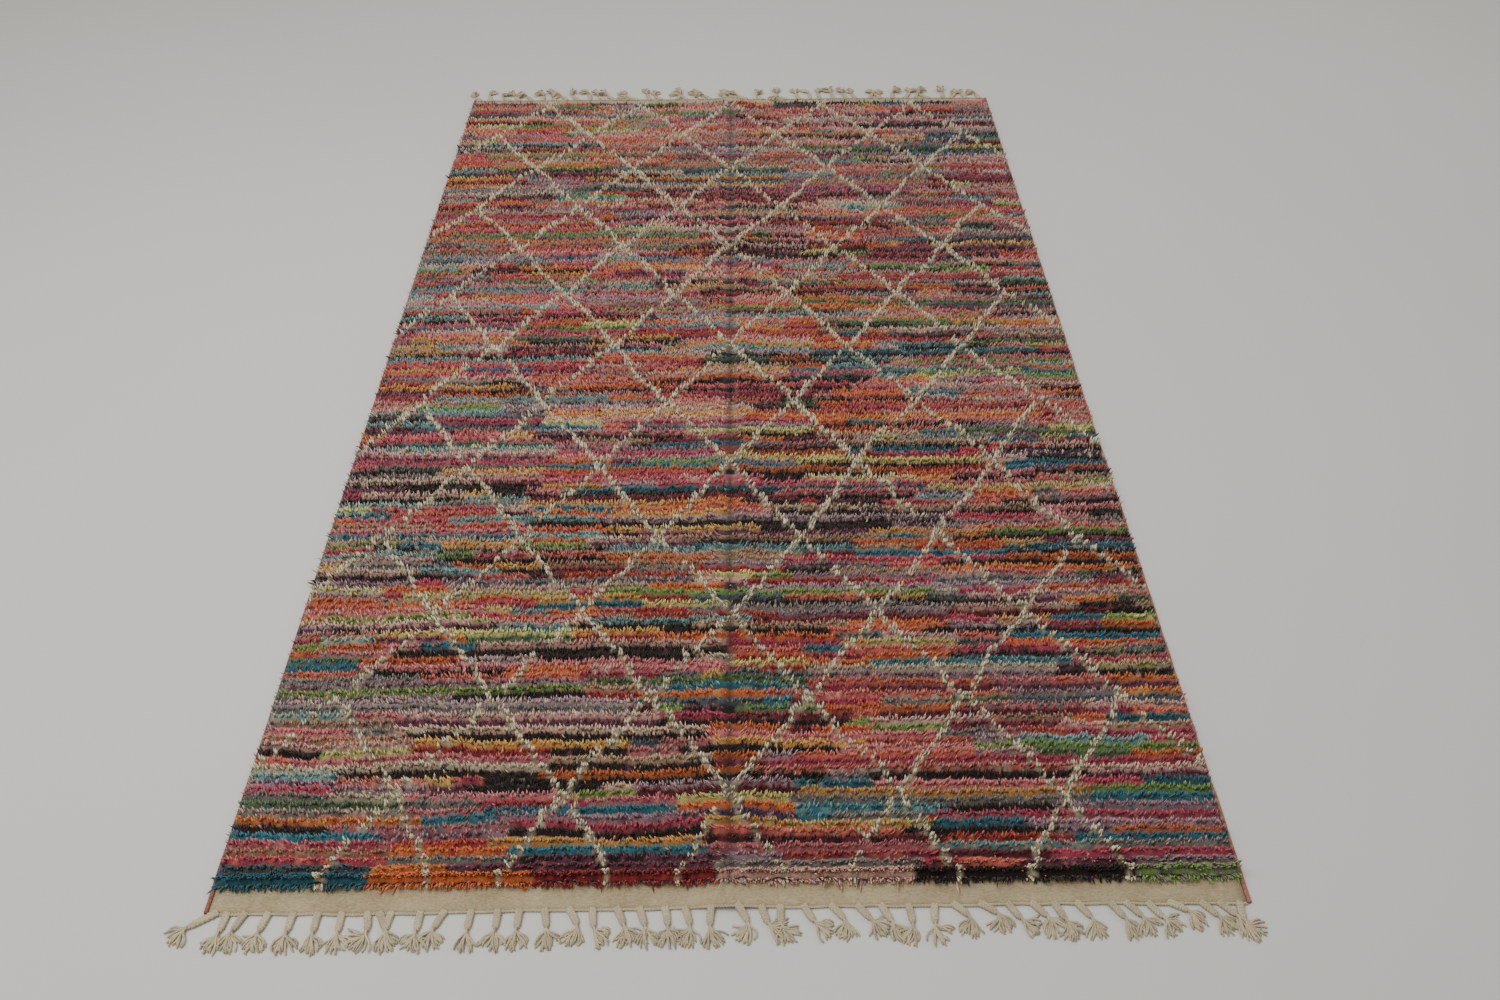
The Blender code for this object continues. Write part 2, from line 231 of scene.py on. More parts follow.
def place_across(x: np.ndarray, y: np.ndarray) -> np.ndarray:
    """Move places across the rug with the waver of the nearer side.

    Args:
        x: Places across the rug.
        y: Places along the rug.

    Returns:
        X of each place on the wavering cloth.
    """
    stations = np.linspace(-RUG_LENGTH / 2, RUG_LENGTH / 2, WAVE_STATIONS)
    shift = np.zeros_like(np.asarray(x, float) + np.asarray(y, float))
    for side in Side:
        shifts = [uneven(station, 3 + side.value, SIDE_WAVE) for station in stations]
        here = np.sign(x) == side.value
        shift = np.where(here, np.interp(y, stations, shifts), shift)
    return x + (np.abs(x) / (RUG_WIDTH / 2)) ** 2 * shift


@dataclass(frozen=True)
class SoftNoise:
    """A smooth field of numbers over the rug.

    Attributes:
        cell: Width of one swell across and along the rug.
        seed: Seed of the field.
        reach: How far the field goes either way.
    """

    cell: tuple[float, float]
    seed: int
    reach: float = 1.0

    def at(self, x: np.ndarray, y: np.ndarray) -> np.ndarray:
        """Read the field.

        Args:
            x: Places across the rug.
            y: Places along the rug.

        Returns:
            The field's value at each place.
        """
        size = 128
        table = np.random.default_rng(self.seed).uniform(-1, 1, (size, size))
        u = np.asarray(x, float) / self.cell[0] + size
        v = np.asarray(y, float) / self.cell[1] + size
        i, j = np.floor(u).astype(int), np.floor(v).astype(int)
        a, b = u - i, v - j
        a, b = a * a * (3 - 2 * a), b * b * (3 - 2 * b)
        near = table[i % size, j % size] * (1 - a) + table[(i + 1) % size, j % size] * a
        far = table[i % size, (j + 1) % size] * (1 - a) + table[(i + 1) % size, (j + 1) % size] * a
        return (near * (1 - b) + far * b) * self.reach


def total(fields: tuple[SoftNoise, ...], x: np.ndarray, y: np.ndarray) -> np.ndarray:
    """Add up several fields at the same places."""
    return sum(noise_field.at(x, y) for noise_field in fields)


def near_fold(x: np.ndarray, width: float) -> np.ndarray:
    """Give a bell curve around the fold, 1 at its middle."""
    return np.exp(-((np.abs(x) / width) ** 2))


# Strands: a straight template made once, and its copies bent along lines

@dataclass(frozen=True)
class Strand:
    """A straight strand of yarn whose copies are bent along lines.

    Attributes:
        sides: Faces round the strand.
        stations: Rings along it, with the tip counted as one where it is pointed.
        pointed: Whether it ends in a point or in a flat cut.
    """

    sides: int
    stations: int
    pointed: bool

    def template(self) -> tuple[np.ndarray, np.ndarray, list[list[int]]]:
        """Make the straight strand.

        Returns:
            Corners across the section, the station of each corner, and the faces.
        """
        bm = bmesh.new()
        bmesh.ops.create_circle(bm, cap_ends=True, segments=self.sides, radius=1.0)
        start = bm.faces[:][0]
        grown = bmesh.ops.extrude_face_region(bm, geom=[start], use_keep_orig=True)["geom"]
        face = next(item for item in grown if isinstance(item, bmesh.types.BMFace))
        bmesh.ops.translate(bm, vec=(0, 0, 1), verts=face.verts[:])
        for _ in range(self.stations - 2):
            face = bmesh.ops.extrude_discrete_faces(bm, faces=[face])["faces"][0]
            bmesh.ops.translate(bm, vec=(0, 0, 1), verts=face.verts[:])
        if self.pointed:
            bmesh.ops.pointmerge(bm, verts=face.verts[:], merge_co=(0, 0, self.stations - 1))
        bmesh.ops.recalc_face_normals(bm, faces=bm.faces)
        bm.verts.index_update()
        corners = np.array([vert.co[:] for vert in bm.verts])
        faces = [[vert.index for vert in face.verts] for face in bm.faces]
        bm.free()
        return corners[:, :2], np.rint(corners[:, 2]).astype(int), faces


@dataclass
class StrandBatch:
    """Many strands of one kind, ready to be joined into one piece.

    Attributes:
        kind: The strand that is copied.
        lines: Centre of each copy at each station, (copies, stations, 3).
        widths: Half width at each station, (copies, stations).
        heights: Half thickness at each station, (copies, stations).
        facing: Direction that each copy's broad side looks in, (copies, 3).
        colours: Linear colour of each copy at each station, (copies, stations, 3).
    """

    kind: Strand
    lines: np.ndarray
    widths: np.ndarray
    heights: np.ndarray
    facing: np.ndarray
    colours: np.ndarray

    def placed(self) -> tuple[np.ndarray, np.ndarray, list[np.ndarray]]:
        """Bend every copy.

        Returns:
            Points, their colours, and the faces grouped by their number of corners.
        """
        section, station, faces = self.kind.template()
        along = np.gradient(self.lines, axis=1)
        along /= np.linalg.norm(along, axis=2, keepdims=True) + 1e-12
        across = np.cross(along, np.broadcast_to(self.facing[:, None, :], along.shape))
        across /= np.linalg.norm(across, axis=2, keepdims=True) + 1e-12
        out = np.cross(along, across)
        points = (
            self.lines[:, station]
            + across[:, station] * (self.widths[:, station] * section[:, 0])[..., None]
            + out[:, station] * (self.heights[:, station] * section[:, 1])[..., None]
        )
        count, corners = points.shape[:2]
        start = (np.arange(count) * corners)[:, None, None]
        groups = []
        for size in sorted({len(face) for face in faces}):
            same = np.array([face for face in faces if len(face) == size])
            groups.append((start + same[None]).reshape(-1, size))
        return points.reshape(-1, 3), self.colours[:, station].reshape(-1, 3), groups


def join_strands(name: str, batches: list[StrandBatch]) -> bpy.types.Object:
    """Join batches of strands into one piece.

    Args:
        name: Name of the piece.
        batches: The strands.

    Returns:
        The piece, with its yarn colours in the attribute "yarn".
    """
    points, colours, faces, offset = [], [], [], 0
    for batch in batches:
        batch_points, batch_colours, groups = batch.placed()
        points.append(batch_points)
        colours.append(batch_colours)
        faces.extend(group + offset for group in groups)
        offset += len(batch_points)
    points, colours = np.concatenate(points), np.concatenate(colours)
    mesh = bpy.data.meshes.new(name)
    mesh.vertices.add(len(points))
    mesh.vertices.foreach_set("co", points.astype(np.float32).ravel())
    sizes = np.concatenate([np.full(len(group), group.shape[1]) for group in faces])
    mesh.loops.add(int(sizes.sum()))
    mesh.loops.foreach_set("vertex_index", np.concatenate([group.ravel() for group in faces]))
    mesh.polygons.add(len(sizes))
    starts = np.concatenate([[0], np.cumsum(sizes)[:-1]])
    mesh.polygons.foreach_set("loop_start", starts)
    mesh.update(calc_edges=True)
    paint(mesh, colours)
    mesh.shade_smooth()
    piece = bpy.data.objects.new(name, mesh)
    bpy.context.scene.collection.objects.link(piece)
    return piece


def paint(mesh: bpy.types.Mesh, colours: np.ndarray) -> None:
    """Store a linear colour for each point in the attribute "yarn".

    Args:
        mesh: The piece's mesh.
        colours: Red, green and blue of each point.
    """
    layer = mesh.attributes.new("yarn", "FLOAT_COLOR", "POINT")
    full = np.ones((len(colours), 4), np.float32)
    full[:, :3] = np.clip(colours, 0, 1)
    layer.data.foreach_set("color", full.ravel())


def finish_mesh(name: str, bm: bmesh.types.BMesh) -> bpy.types.Object:
    """Turn a bmesh into a smoothly shaded piece.

    Args:
        name: Name of the piece.
        bm: The mesh, which is freed.

    Returns:
        The piece, at the origin.
    """
    mesh = bpy.data.meshes.new(name)
    bm.to_mesh(mesh)
    bm.free()
    mesh.shade_smooth()
    piece = bpy.data.objects.new(name, mesh)
    bpy.context.scene.collection.objects.link(piece)
    return piece


def numbered_grid(columns: int, lines: int) -> tuple[bmesh.types.BMesh, np.ndarray, np.ndarray]:
    """Start a flat grid of faces.

    Args:
        columns: Faces across.
        lines: Faces along.

    Returns:
        The grid, and the column and the line of each corner.
    """
    bm = bmesh.new()
    bmesh.ops.create_grid(bm, x_segments=columns, y_segments=lines, size=0.5)
    bm.verts.index_update()
    spots = np.array([vert.co[:] for vert in bm.verts]) + 0.5
    column = np.rint(spots[:, 0] * columns).astype(int)
    line = np.rint(spots[:, 1] * lines).astype(int)
    return bm, column, line


def move_corners(bm: bmesh.types.BMesh, places: np.ndarray) -> None:
    """Put each corner of a mesh at its own place."""
    for vert, place in zip(bm.verts, places):
        vert.co = place


def tube(centres: np.ndarray, widths: np.ndarray, heights: np.ndarray, sides: int) -> bmesh.types.BMesh:
    """Wrap a grid into a closed tube along a line.

    Args:
        centres: Points along the line, (stations, 3).
        widths: Half width at each station.
        heights: Half height at each station.
        sides: Faces round the tube.

    Returns:
        The tube, closed at both ends.
    """
    along = np.gradient(centres, axis=0)
    along /= np.linalg.norm(along, axis=1, keepdims=True)
    across = np.cross(along, (0.0, 0.0, 1.0))
    across /= np.linalg.norm(across, axis=1, keepdims=True)
    out = np.cross(across, along)
    bm, side, station = numbered_grid(sides, len(centres) - 1)
    turn = math.tau * (side % sides + 0.5) / sides
    sideways = across[station] * (widths[station] * np.cos(turn))[:, None]
    upwards = out[station] * (heights[station] * np.sin(turn))[:, None]
    move_corners(bm, centres[station] + sideways + upwards)
    bmesh.ops.remove_doubles(bm, verts=bm.verts, dist=1e-6)
    bmesh.ops.holes_fill(bm, edges=[edge for edge in bm.edges if edge.is_boundary], sides=0)
    bmesh.ops.recalc_face_normals(bm, faces=bm.faces)
    return bm


def merge(parts: list[bmesh.types.BMesh]) -> bmesh.types.BMesh:
    """Put several meshes into the first of them and free the rest."""
    whole = parts[0]
    for part in parts[1:]:
        mesh = bpy.data.meshes.new("part")
        part.to_mesh(mesh)
        part.free()
        whole.from_mesh(mesh)
        bpy.data.meshes.remove(mesh)
    return whole


# Shader maths and finishes

class Wire:
    """A shader socket that takes part in Python expressions."""

    def __init__(self, shader: Shader, socket: bpy.types.NodeSocket) -> None:
        """Keep the socket and the shader that it belongs to."""
        self.shader = shader
        self.socket = socket

    def math(self, operation: str, *values: Wire | float) -> Wire:
        """Add a Math node.

        Args:
            operation: The node's operation.
            values: Its inputs.

        Returns:
            The node's output.
        """
        return self.shader.node("ShaderNodeMath", {"operation": operation}, dict(enumerate(values)))

    def __add__(self, other: Wire | float) -> Wire:
        """Add."""
        return self.math("ADD", self, other)

    def __radd__(self, other: float) -> Wire:
        """Add to a number."""
        return self.math("ADD", other, self)

    def __mul__(self, other: Wire | float) -> Wire:
        """Multiply."""
        return self.math("MULTIPLY", self, other)

    def __rmul__(self, other: float) -> Wire:
        """Multiply a number."""
        return self.math("MULTIPLY", other, self)

    def sine(self) -> Wire:
        """Take the sine."""
        return self.math("SINE", self)


class Shader:
    """One material's nodes."""

    def __init__(self, name: str) -> None:
        """Start a material with a bare Principled shader.

        Args:
            name: Name of the material.
        """
        self.material = bpy.data.materials.new(name)
        self.material.use_nodes = True
        self.tree = self.material.node_tree
        self.skin = self.tree.nodes["Principled BSDF"]

    def node(self, kind: str, settings: dict | None = None, inputs: dict | None = None,
             output: int | str = 0) -> Wire:
        """Add any node.

        Args:
            kind: The node's type.
            settings: Its properties, which are set first.
            inputs: Values or wires for its sockets, by name or number.
            output: The socket that is returned.

        Returns:
            One output of the node.
        """
        node = self.tree.nodes.new(kind)
        for key, value in (settings or {}).items():
            setattr(node, key, value)
        for key, value in (inputs or {}).items():
            self.feed(node.inputs[key], value)
        return Wire(self, node.outputs[output])

    def feed(self, socket: bpy.types.NodeSocket, value: Wire | float | tuple) -> None:
        """Link a wire to a socket, or set its value."""
        if isinstance(value, Wire):
            self.tree.links.new(value.socket, socket)
        elif isinstance(value, tuple):
            socket.default_value = value[: len(socket.default_value)]
        else:
            socket.default_value = value

    def dress(self, **values: Wire | float | tuple) -> None:
        """Set sockets of the Principled shader, whose names have _ for a space."""
        for key, value in values.items():
            self.feed(self.skin.inputs[key.replace("_", " ")], value)

    def place(self) -> Wire:
        """Read the object's own coordinates."""
        return self.node("ShaderNodeTexCoord", output="Object")

    def noise(self, where: Wire, scale: float, detail: float = 2.0, rough: float = 0.5) -> Wire:
        """Read a noise of the given scale at a place."""
        values = {"Vector": where, "Scale": scale, "Detail": detail, "Roughness": rough}
        return self.node("ShaderNodeTexNoise", inputs=values)

    def stretched(self, where: Wire, scale: tuple[float, float, float]) -> Wire:
        """Stretch a place by three factors."""
        return self.node("ShaderNodeVectorMath", {"operation": "MULTIPLY"}, {0: where, 1: scale})

    def axis(self, where: Wire, name: str) -> Wire:
        """Take X, Y or Z of a place."""
        return self.node("ShaderNodeSeparateXYZ", inputs={0: where}, output=name)

    def tinted(self, colour: Wire | tuple, amount: Wire) -> Wire:
        """Brighten or darken a colour by a varying factor.

        Args:
            colour: The colour.
            amount: The factor, 1 for no change.

        Returns:
            The changed colour.
        """
        grey = self.node("ShaderNodeCombineXYZ", inputs={0: amount, 1: amount, 2: amount})
        return self.node("ShaderNodeVectorMath", {"operation": "MULTIPLY"}, {0: colour, 1: grey})

    def mixed(self, share: Wire | float, first: Wire | tuple, second: Wire | tuple) -> Wire:
        """Mix two colours.

        Args:
            share: How much of the second, from 0 to 1.
            first: The first colour.
            second: The second colour.

        Returns:
            The mixture.
        """
        node = self.tree.nodes.new("ShaderNodeMix")
        node.data_type = "RGBA"
        self.feed(node.inputs["Factor"], share)
        colours = [socket for socket in node.inputs if socket.type == "RGBA"]
        self.feed(colours[0], first)
        self.feed(colours[1], second)
        return Wire(self, next(socket for socket in node.outputs if socket.type == "RGBA"))

    def spread(self, value: Wire, low: float, high: float, to_low: float, to_high: float) -> Wire:
        """Map a range of values onto another, without going past its ends."""
        values = {"Value": value, "From Min": low, "From Max": high, "To Min": to_low, "To Max": to_high}
        return self.node("ShaderNodeMapRange", {"clamp": True}, values)

    def relief(self, height: Wire, distance: float, strength: float) -> Wire:
        """Turn a height into a bumped normal."""
        values = {"Height": height, "Distance": distance, "Strength": strength}
        return self.node("ShaderNodeBump", inputs=values, output="Normal")


@dataclass(frozen=True)
class PileFinish:
    """Dyed wool pile, with fine fibres and a soft sheen.

    Attributes:
        name: Name of the material.
        fibre_scale: Fibres to a metre in the fine grain.
        tuft_scale: Strands to a metre in the coarse grain.
        depth: Factor on the yarn's colour.
    """

    name: str
    fibre_scale: float = 900.0
    tuft_scale: float = 330.0
    depth: float = 1.11

    def material(self) -> bpy.types.Material:
        """Build the material."""
        shader = Shader(self.name)
        where = shader.place()
        yarn = shader.node("ShaderNodeAttribute", {"attribute_name": "yarn"}, output="Color")
        grain = shader.noise(shader.stretched(where, (1.0, 0.45, 0.45)), self.fibre_scale, 2.0, 0.6)
        tuft = shader.noise(shader.stretched(where, (1.0, 0.30, 0.30)), self.tuft_scale, 1.0)
        # The grain and tuft noise vary the tone from fibre to fibre and, as they also make the bump, darken
        # its low parts as painted shade.
        amount = shader.spread(grain, 0.28, 0.72, 0.76, 1.20) * shader.spread(tuft, 0.3, 0.7, 0.76, 1.16)
        colour = shader.tinted(yarn, amount * self.depth)
        shader.dress(
            Base_Color=colour,
            Roughness=0.88,
            Sheen_Weight=0.22,
            Sheen_Roughness=0.5,
            Specular_IOR_Level=0.18,
            Normal=shader.relief(tuft * 3.0 + grain, 0.0012, 0.8),
        )
        return shader.material


@dataclass(frozen=True)
class WeaveFinish:
    """Undyed flat weave of the ground, with fine ribs and slubs.

    Attributes:
        name: Name of the material.
        colour: Colour of the yarn, from 0 to 255.
        shade: Colour of its shaded parts.
        rib_pitch: Distance from rib to rib across the rug.
        pick_pitch: Distance from pick to pick along it.
    """

    name: str = "undyed flat weave"
    colour: tuple[float, float, float] = (210, 193, 155)
    shade: tuple[float, float, float] = (168, 149, 113)
    rib_pitch: float = 0.0024
    pick_pitch: float = 0.0011

    def material(self) -> bpy.types.Material:
        """Build the material."""
        shader = Shader(self.name)
        where = shader.place()
        x, y = shader.axis(where, "X"), shader.axis(where, "Y")
        sway = shader.noise(where, 60.0, 2.0)
        warp = (x * (math.tau / self.rib_pitch) + sway * 3.0).sine()
        pick = (y * (math.tau / self.pick_pitch) + warp * 1.4 + sway * 5.0).sine()
        slub = shader.noise(shader.stretched(where, (0.35, 1.0, 1.0)), 520.0, 3.0, 0.65)
        cloud = shader.noise(where, 22.0, 2.0)
        height = warp * 0.25 + pick * 0.35 + slub * 1.5
        share = shader.spread(slub + cloud * 0.5, 0.52, 0.98, 1.0, 0.0)
        colour = shader.mixed(share, rgba(self.colour), rgba(self.shade))
        # The picks' tint is painted shade, darker where the picks' relief dips.
        shader.dress(
            Base_Color=shader.tinted(colour, shader.spread(pick, -1.0, 1.0, 0.93, 1.05)),
            Roughness=0.92,
            Sheen_Weight=0.12,
            Specular_IOR_Level=0.15,
            Normal=shader.relief(height, 0.0006, 0.75),
        )
        return shader.material


@dataclass(frozen=True)
class CordFinish:
    """Plied yarn of a cord or tassel, with its stray fibres.

    Attributes:
        name: Name of the material.
        fibre_scale: Fibres to a metre in the grain.
        contrast: How much darker the grain's grooves are, as painted shade, with a painted highlight on its
            ridges.
    """

    name: str
    fibre_scale: float = 700.0
    contrast: float = 0.30

    def material(self) -> bpy.types.Material:
        """Build the material."""
        shader = Shader(self.name)
        where = shader.place()
        yarn = shader.node("ShaderNodeAttribute", {"attribute_name": "yarn"}, output="Color")
        grain = shader.noise(where, self.fibre_scale, 3.0, 0.6)
        cloud = shader.noise(where, 60.0, 1.0)
        # The grain that makes the bump also paints shade in its grooves and a highlight on its ridges.
        amount = shader.spread(grain, 0.3, 0.7, 1.0 - self.contrast, 1.0 + self.contrast * 0.6)
        shader.dress(
            Base_Color=shader.tinted(yarn, amount * shader.spread(cloud, 0.3, 0.7, 0.9, 1.08)),
            Roughness=0.9,
            Sheen_Weight=0.15,
            Specular_IOR_Level=0.16,
            Normal=shader.relief(grain, 0.0009, 0.7),
        )
        return shader.material


@dataclass(frozen=True)
class FloorFinish:
    """Plain pale studio floor.

    Attributes:
        colour: Colour of the floor, from 0 to 255.
    """

    colour: tuple[float, float, float] = (222, 219, 213)

    def material(self) -> bpy.types.Material:
        """Build the material."""
        shader = Shader("pale studio floor")
        cloud = shader.noise(shader.place(), 1.1, 3.0)
        colour = shader.tinted(rgba(self.colour), shader.spread(cloud, 0.3, 0.7, 0.975, 1.01))
        shader.dress(Base_Color=colour, Roughness=0.72, Specular_IOR_Level=0.3)
        return shader.material


# The pile

@dataclass(frozen=True)
class Run:
    """A stretch of one row that is knotted with the same yarn.

    Attributes:
        stop: Where the run ends across the rug.
        yarn: Its yarn.
        partner: A second yarn that is mixed in.
        share: Share of the knots that take the partner.
        tone: Factor on the yarn's brightness, which gives the abrash.
    """

    stop: float
    yarn: Yarn
    partner: Yarn
    share: float
    tone: float


# Regions to a metre across and along where a yarn gathers, and the step between the yarns' fields
REGIONS = (2.0, 2.4)
YARN_STEP = 7.31


@dataclass
class RunPlan:
    """Which yarn each row is knotted with, in short runs whose ends often line up.

    Attributes:
        rows: Rows of knots, counted from the near end.
        half_width: From the centre line to the pile's side.
        length: From the first row to the last.
        shortest: Shortest run.
        usual: Length that the runs spread round.
        longest: Longest run.
        line_up: Chance that a run stops where one of the row before does.
        drift: How strongly the yarns gather in some regions.
        kin: How much rarer a yarn is over one that it is mixed with elsewhere.
        mixing: Chance that a dark run and any other run are mixed with a second yarn.
        shares: Least and greatest share of that yarn in a mixed run.
        plain_share: Its share in any other run.
        tones: Least and greatest factor on a run's brightness.
        misfit: How far a run stops from the stop that it lines up with.
        overrun: How far the last run of a row goes past the side.
        seed: Seed of the plan.
    """

    rows: int = PILE_ROWS
    half_width: float = HALF_WEAVE
    length: float = RUG_LENGTH - 2 * END_BAND
    shortest: float = 0.035
    usual: float = 0.17
    longest: float = 0.62
    line_up: float = 0.45
    drift: float = 1.8
    kin: float = 0.6
    mixing: tuple[float, float] = (0.2, 0.6)
    shares: tuple[float, float] = (0.10, 0.40)
    plain_share: float = 0.03
    tones: tuple[float, float] = (0.74, 1.22)
    misfit: float = 0.006
    overrun: float = 0.01
    seed: int = 41

    def yarn_at(self, x: float, y: float, dice: np.random.Generator, before: Yarn, below: Yarn) -> Yarn:
        """Choose a yarn for a run.

        Args:
            x: Middle of the run across the rug.
            y: Place of the row along the rug.
            dice: Source of chance.
            before: Yarn of the run beside it, which isn't used again.
            below: Yarn of the row before, which isn't used again and whose partners are rare.

        Returns:
            The yarn.
        """
        weights = []
        for number, yarn in enumerate(YARN_SHARE):
            here = noise.noise(Vector((x * REGIONS[0], y * REGIONS[1], number * YARN_STEP + self.seed)))
            fit = 0.0 if yarn in (before, below) else self.kin if yarn in PARTNERS[below] else 1.0
            weights.append(fit * YARN_SHARE[yarn] * math.exp(self.drift * here))
        weights = np.array(weights) / sum(weights)
        return list(YARN_SHARE)[dice.choice(len(weights), p=weights)]

    def run(self, stop: float, yarn: Yarn, dice: np.random.Generator) -> Run:
        """Make one run with its mixture and tone."""
        partners = PARTNERS[yarn]
        partner = partners[dice.integers(len(partners))]
        mixed = dice.random() < self.mixing[yarn is not Yarn.DARK]
        share = dice.uniform(*self.shares) if mixed else self.plain_share
        return Run(stop, yarn, partner, share, dice.uniform(*self.tones))

    def drawn_row(self, y: float, below: list[Run], dice: np.random.Generator) -> list[Run]:
        """Lay out one row by chance.

        Args:
            y: Place of the row along the rug.
            below: Runs of the row before.
            dice: Source of chance.

        Returns:
            The row's runs from left to right.
        """
        stops_before = np.array([run.stop for run in below])
        runs: list[Run] = []
        x, before = -self.half_width, Yarn.CREAM
        while x < self.half_width:
            stop = x + min(self.longest, self.shortest + dice.exponential(self.usual - self.shortest))
            if dice.random() < self.line_up:
                near = stops_before[np.argmin(np.abs(stops_before - stop))]
                stop = near + dice.normal(0, self.misfit) if near > x + self.shortest else stop
            if self.half_width - stop < self.shortest:
                stop = self.half_width + self.overrun
            middle = (x + stop) / 2
            yarn_below = next((run.yarn for run in below if run.stop > middle), Yarn.CREAM)
            before = self.yarn_at(middle, y, dice, before, yarn_below)
            if before is Yarn.DARK:
                stop = min(stop + dice.exponential(self.usual), self.half_width + self.overrun)
            runs.append(self.run(stop, before, dice))
            x = stop
        return runs

    def plan(self) -> list[list[Run]]:
        """Lay out every row, with dark runs longer than the rest.

        Returns:
            The runs of each row from left to right.
        """
        dice = np.random.default_rng(self.seed)
        rows: list[list[Run]] = []
        for row in range(self.rows):
            if row < len(NEAR_ROWS):
                rows.append([self.run(stop, yarn, dice) for yarn, stop in NEAR_ROWS[row]])
            else:
                y = (row / (self.rows - 1) - 0.5) * self.length
                rows.append(self.drawn_row(y, rows[-1], dice))
        return rows


# Y of each row of crossings, which the weaver spaced unevenly, with one row past each end
CROSSING_ROWS = (
    -1.262, -1.047, -0.876, -0.699, -0.525, -0.325, -0.148, 0.042, 0.238, 0.425, 0.608, 0.798, 0.976,
    1.148, 1.325,
)


# The lines that are tried for each slope, the step between their sways, and sways to a metre
LATTICE_LINES = range(-10, 22)
LINE_STEP = 3.7
SWAYS = 5.0


@dataclass(frozen=True)
class Lattice:
    """The open lattice of diamonds, tied in undyed yarn.

    Attributes:
        half_across: Half a diamond across the rug.
        columns: Columns of crossings from the middle to the outermost one.
        line_width: Width of a line.
        wander: How far a line wanders from straight.
        row_jitter: How far a row's knots step off the line.
        gaps: Share of a line's rows that stay bare.
        widths: Least and greatest factor on a line's width in a row.
        margin: How far past the weave's side a line is still followed.
        seed: Seed of the wandering and the gaps.
    """

    half_across: float = 0.1303
    columns: float = 5.0
    line_width: float = 0.0100
    wander: float = 0.007
    row_jitter: float = 0.0021
    gaps: float = 0.035
    widths: tuple[float, float] = (0.65, 1.25)
    margin: float = 0.02
    seed: int = 17

    def tied(self, x: np.ndarray, y: float, row: int) -> np.ndarray:
        """Say which knots of a row are undyed.

        Past the outermost crossings, only the lines that run down to the sides are tied.

        Args:
            x: Places of the knots across the rug.
            y: Place of the row along the rug.
            row: Number of the row.

        Returns:
            True for each knot that belongs to a line.
        """
        found = np.zeros(len(x), bool)
        dice = np.random.default_rng(self.seed * 1000 + row)
        along = float(np.interp(y, CROSSING_ROWS, range(-1, len(CROSSING_ROWS) - 1)))
        for slope in (-1, 1):
            for line in LATTICE_LINES:
                centre = (2 * line + slope * along) * self.half_across
                chance, step, wide = dice.random(), dice.normal(), dice.uniform(*self.widths)
                if abs(centre) > HALF_WEAVE + self.margin or chance < self.gaps:
                    continue
                if slope * centre > self.columns * self.half_across:
                    continue
                spot = Vector((line * LINE_STEP + slope, y * SWAYS, self.seed))
                sway = noise.noise(spot) * self.wander * 2
                centre += sway + step * self.row_jitter
                found |= np.abs(x - centre) < self.line_width / 2 * wide
        return found


@dataclass
class MeshBatch:
    """A ready mesh that is joined with strands.

    Attributes:
        points: Its corners.
        colours: Linear colour of each corner.
        faces: Its faces as corner numbers, grouped by their number of corners.
    """

    points: np.ndarray
    colours: np.ndarray
    faces: list[np.ndarray]

    def placed(self) -> tuple[np.ndarray, np.ndarray, list[np.ndarray]]:
        """Give the points, their colours and the faces."""
        return self.points, self.colours, self.faces


def wrapped(points: np.ndarray, colours: np.ndarray) -> MeshBatch:
    """Lay faces over lines of corners, and close them round underneath.

    Args:
        points: The corners, (lines, columns, 3).
        colours: Their linear colours, (lines, columns, 3).

    Returns:
        The closed body.
    """
    last = len(points) - 1
    bm, column, line = numbered_grid(points.shape[1] - 1, last)
    near = [rim for rim in bm.edges if all(line[vert.index] == 0 for vert in rim.verts)]
    far = [rim for rim in bm.edges if all(line[vert.index] == last for vert in rim.verts)]
    move_corners(bm, points[line, column])
    bmesh.ops.bridge_loops(bm, edges=near + far)
    bmesh.ops.holes_fill(bm, edges=[rim for rim in bm.edges if rim.is_boundary], sides=0)
    bmesh.ops.recalc_face_normals(bm, faces=bm.faces)
    corners = np.array([vert.co[:] for vert in bm.verts])
    groups: dict[int, list[list[int]]] = {}
    for face in bm.faces:
        groups.setdefault(len(face.verts), []).append([vert.index for vert in face.verts])
    bm.free()
    return MeshBatch(corners, colours[line, column], [np.array(group) for group in groups.values()])


@dataclass(frozen=True)
class Station:
    """One line of corners across a row of the pile's body.

    Attributes:
        share: Place in the row's pitch, from 0 at its front.
        height: Height against the pile's own.
        tone: Factor on the yarn's colour, painted shade that is darker the lower the line lies in the pile.
        shift: Distance that the line is moved along the rug.
    """

    share: float
    height: float
    tone: float
    shift: float = 0.0


# The body's lines in one row, in the first row, at the foot of a panel's two ends, and at the far end
# The stations' tones are painted shade, darker the lower a line lies in the pile.
ROW_BODY = (Station(0.04, 0.38, 0.40), Station(0.72, 0.60, 0.70))
FRONT_BODY = (
    Station(0.0, 0.03, 0.20, 0.001), Station(0.0, 0.26, 0.40, -0.0045),
    Station(0.0, 0.52, 0.58, -0.0050), Station(0.66, 0.64, 0.72),
)
FRONT_FOOT = (Station(0.0, 0.03, 0.25),)
BACK_FOOT = (Station(1.0, 0.38, 0.40), Station(1.0, 0.03, 0.25))
BACK_BODY = (Station(1.0, 0.60, 0.70, 0.0035), Station(1.0, 0.03, 0.25))

# Breadth of a strand from root to tip, and its thickness against that
BELLIED = (1.0, 1.05, 0.0)
STRAIGHT = (1.0, 0.0)
FLATNESS = 0.8

# Depth of the strands' roots in the body, the lowest place of a root or an end, and the highest of an end
ROOT_DEPTH = 0.0022
LOWEST_ROOT = 0.0025
LOWEST_END = 0.0032
HIGHEST_END = 0.0364


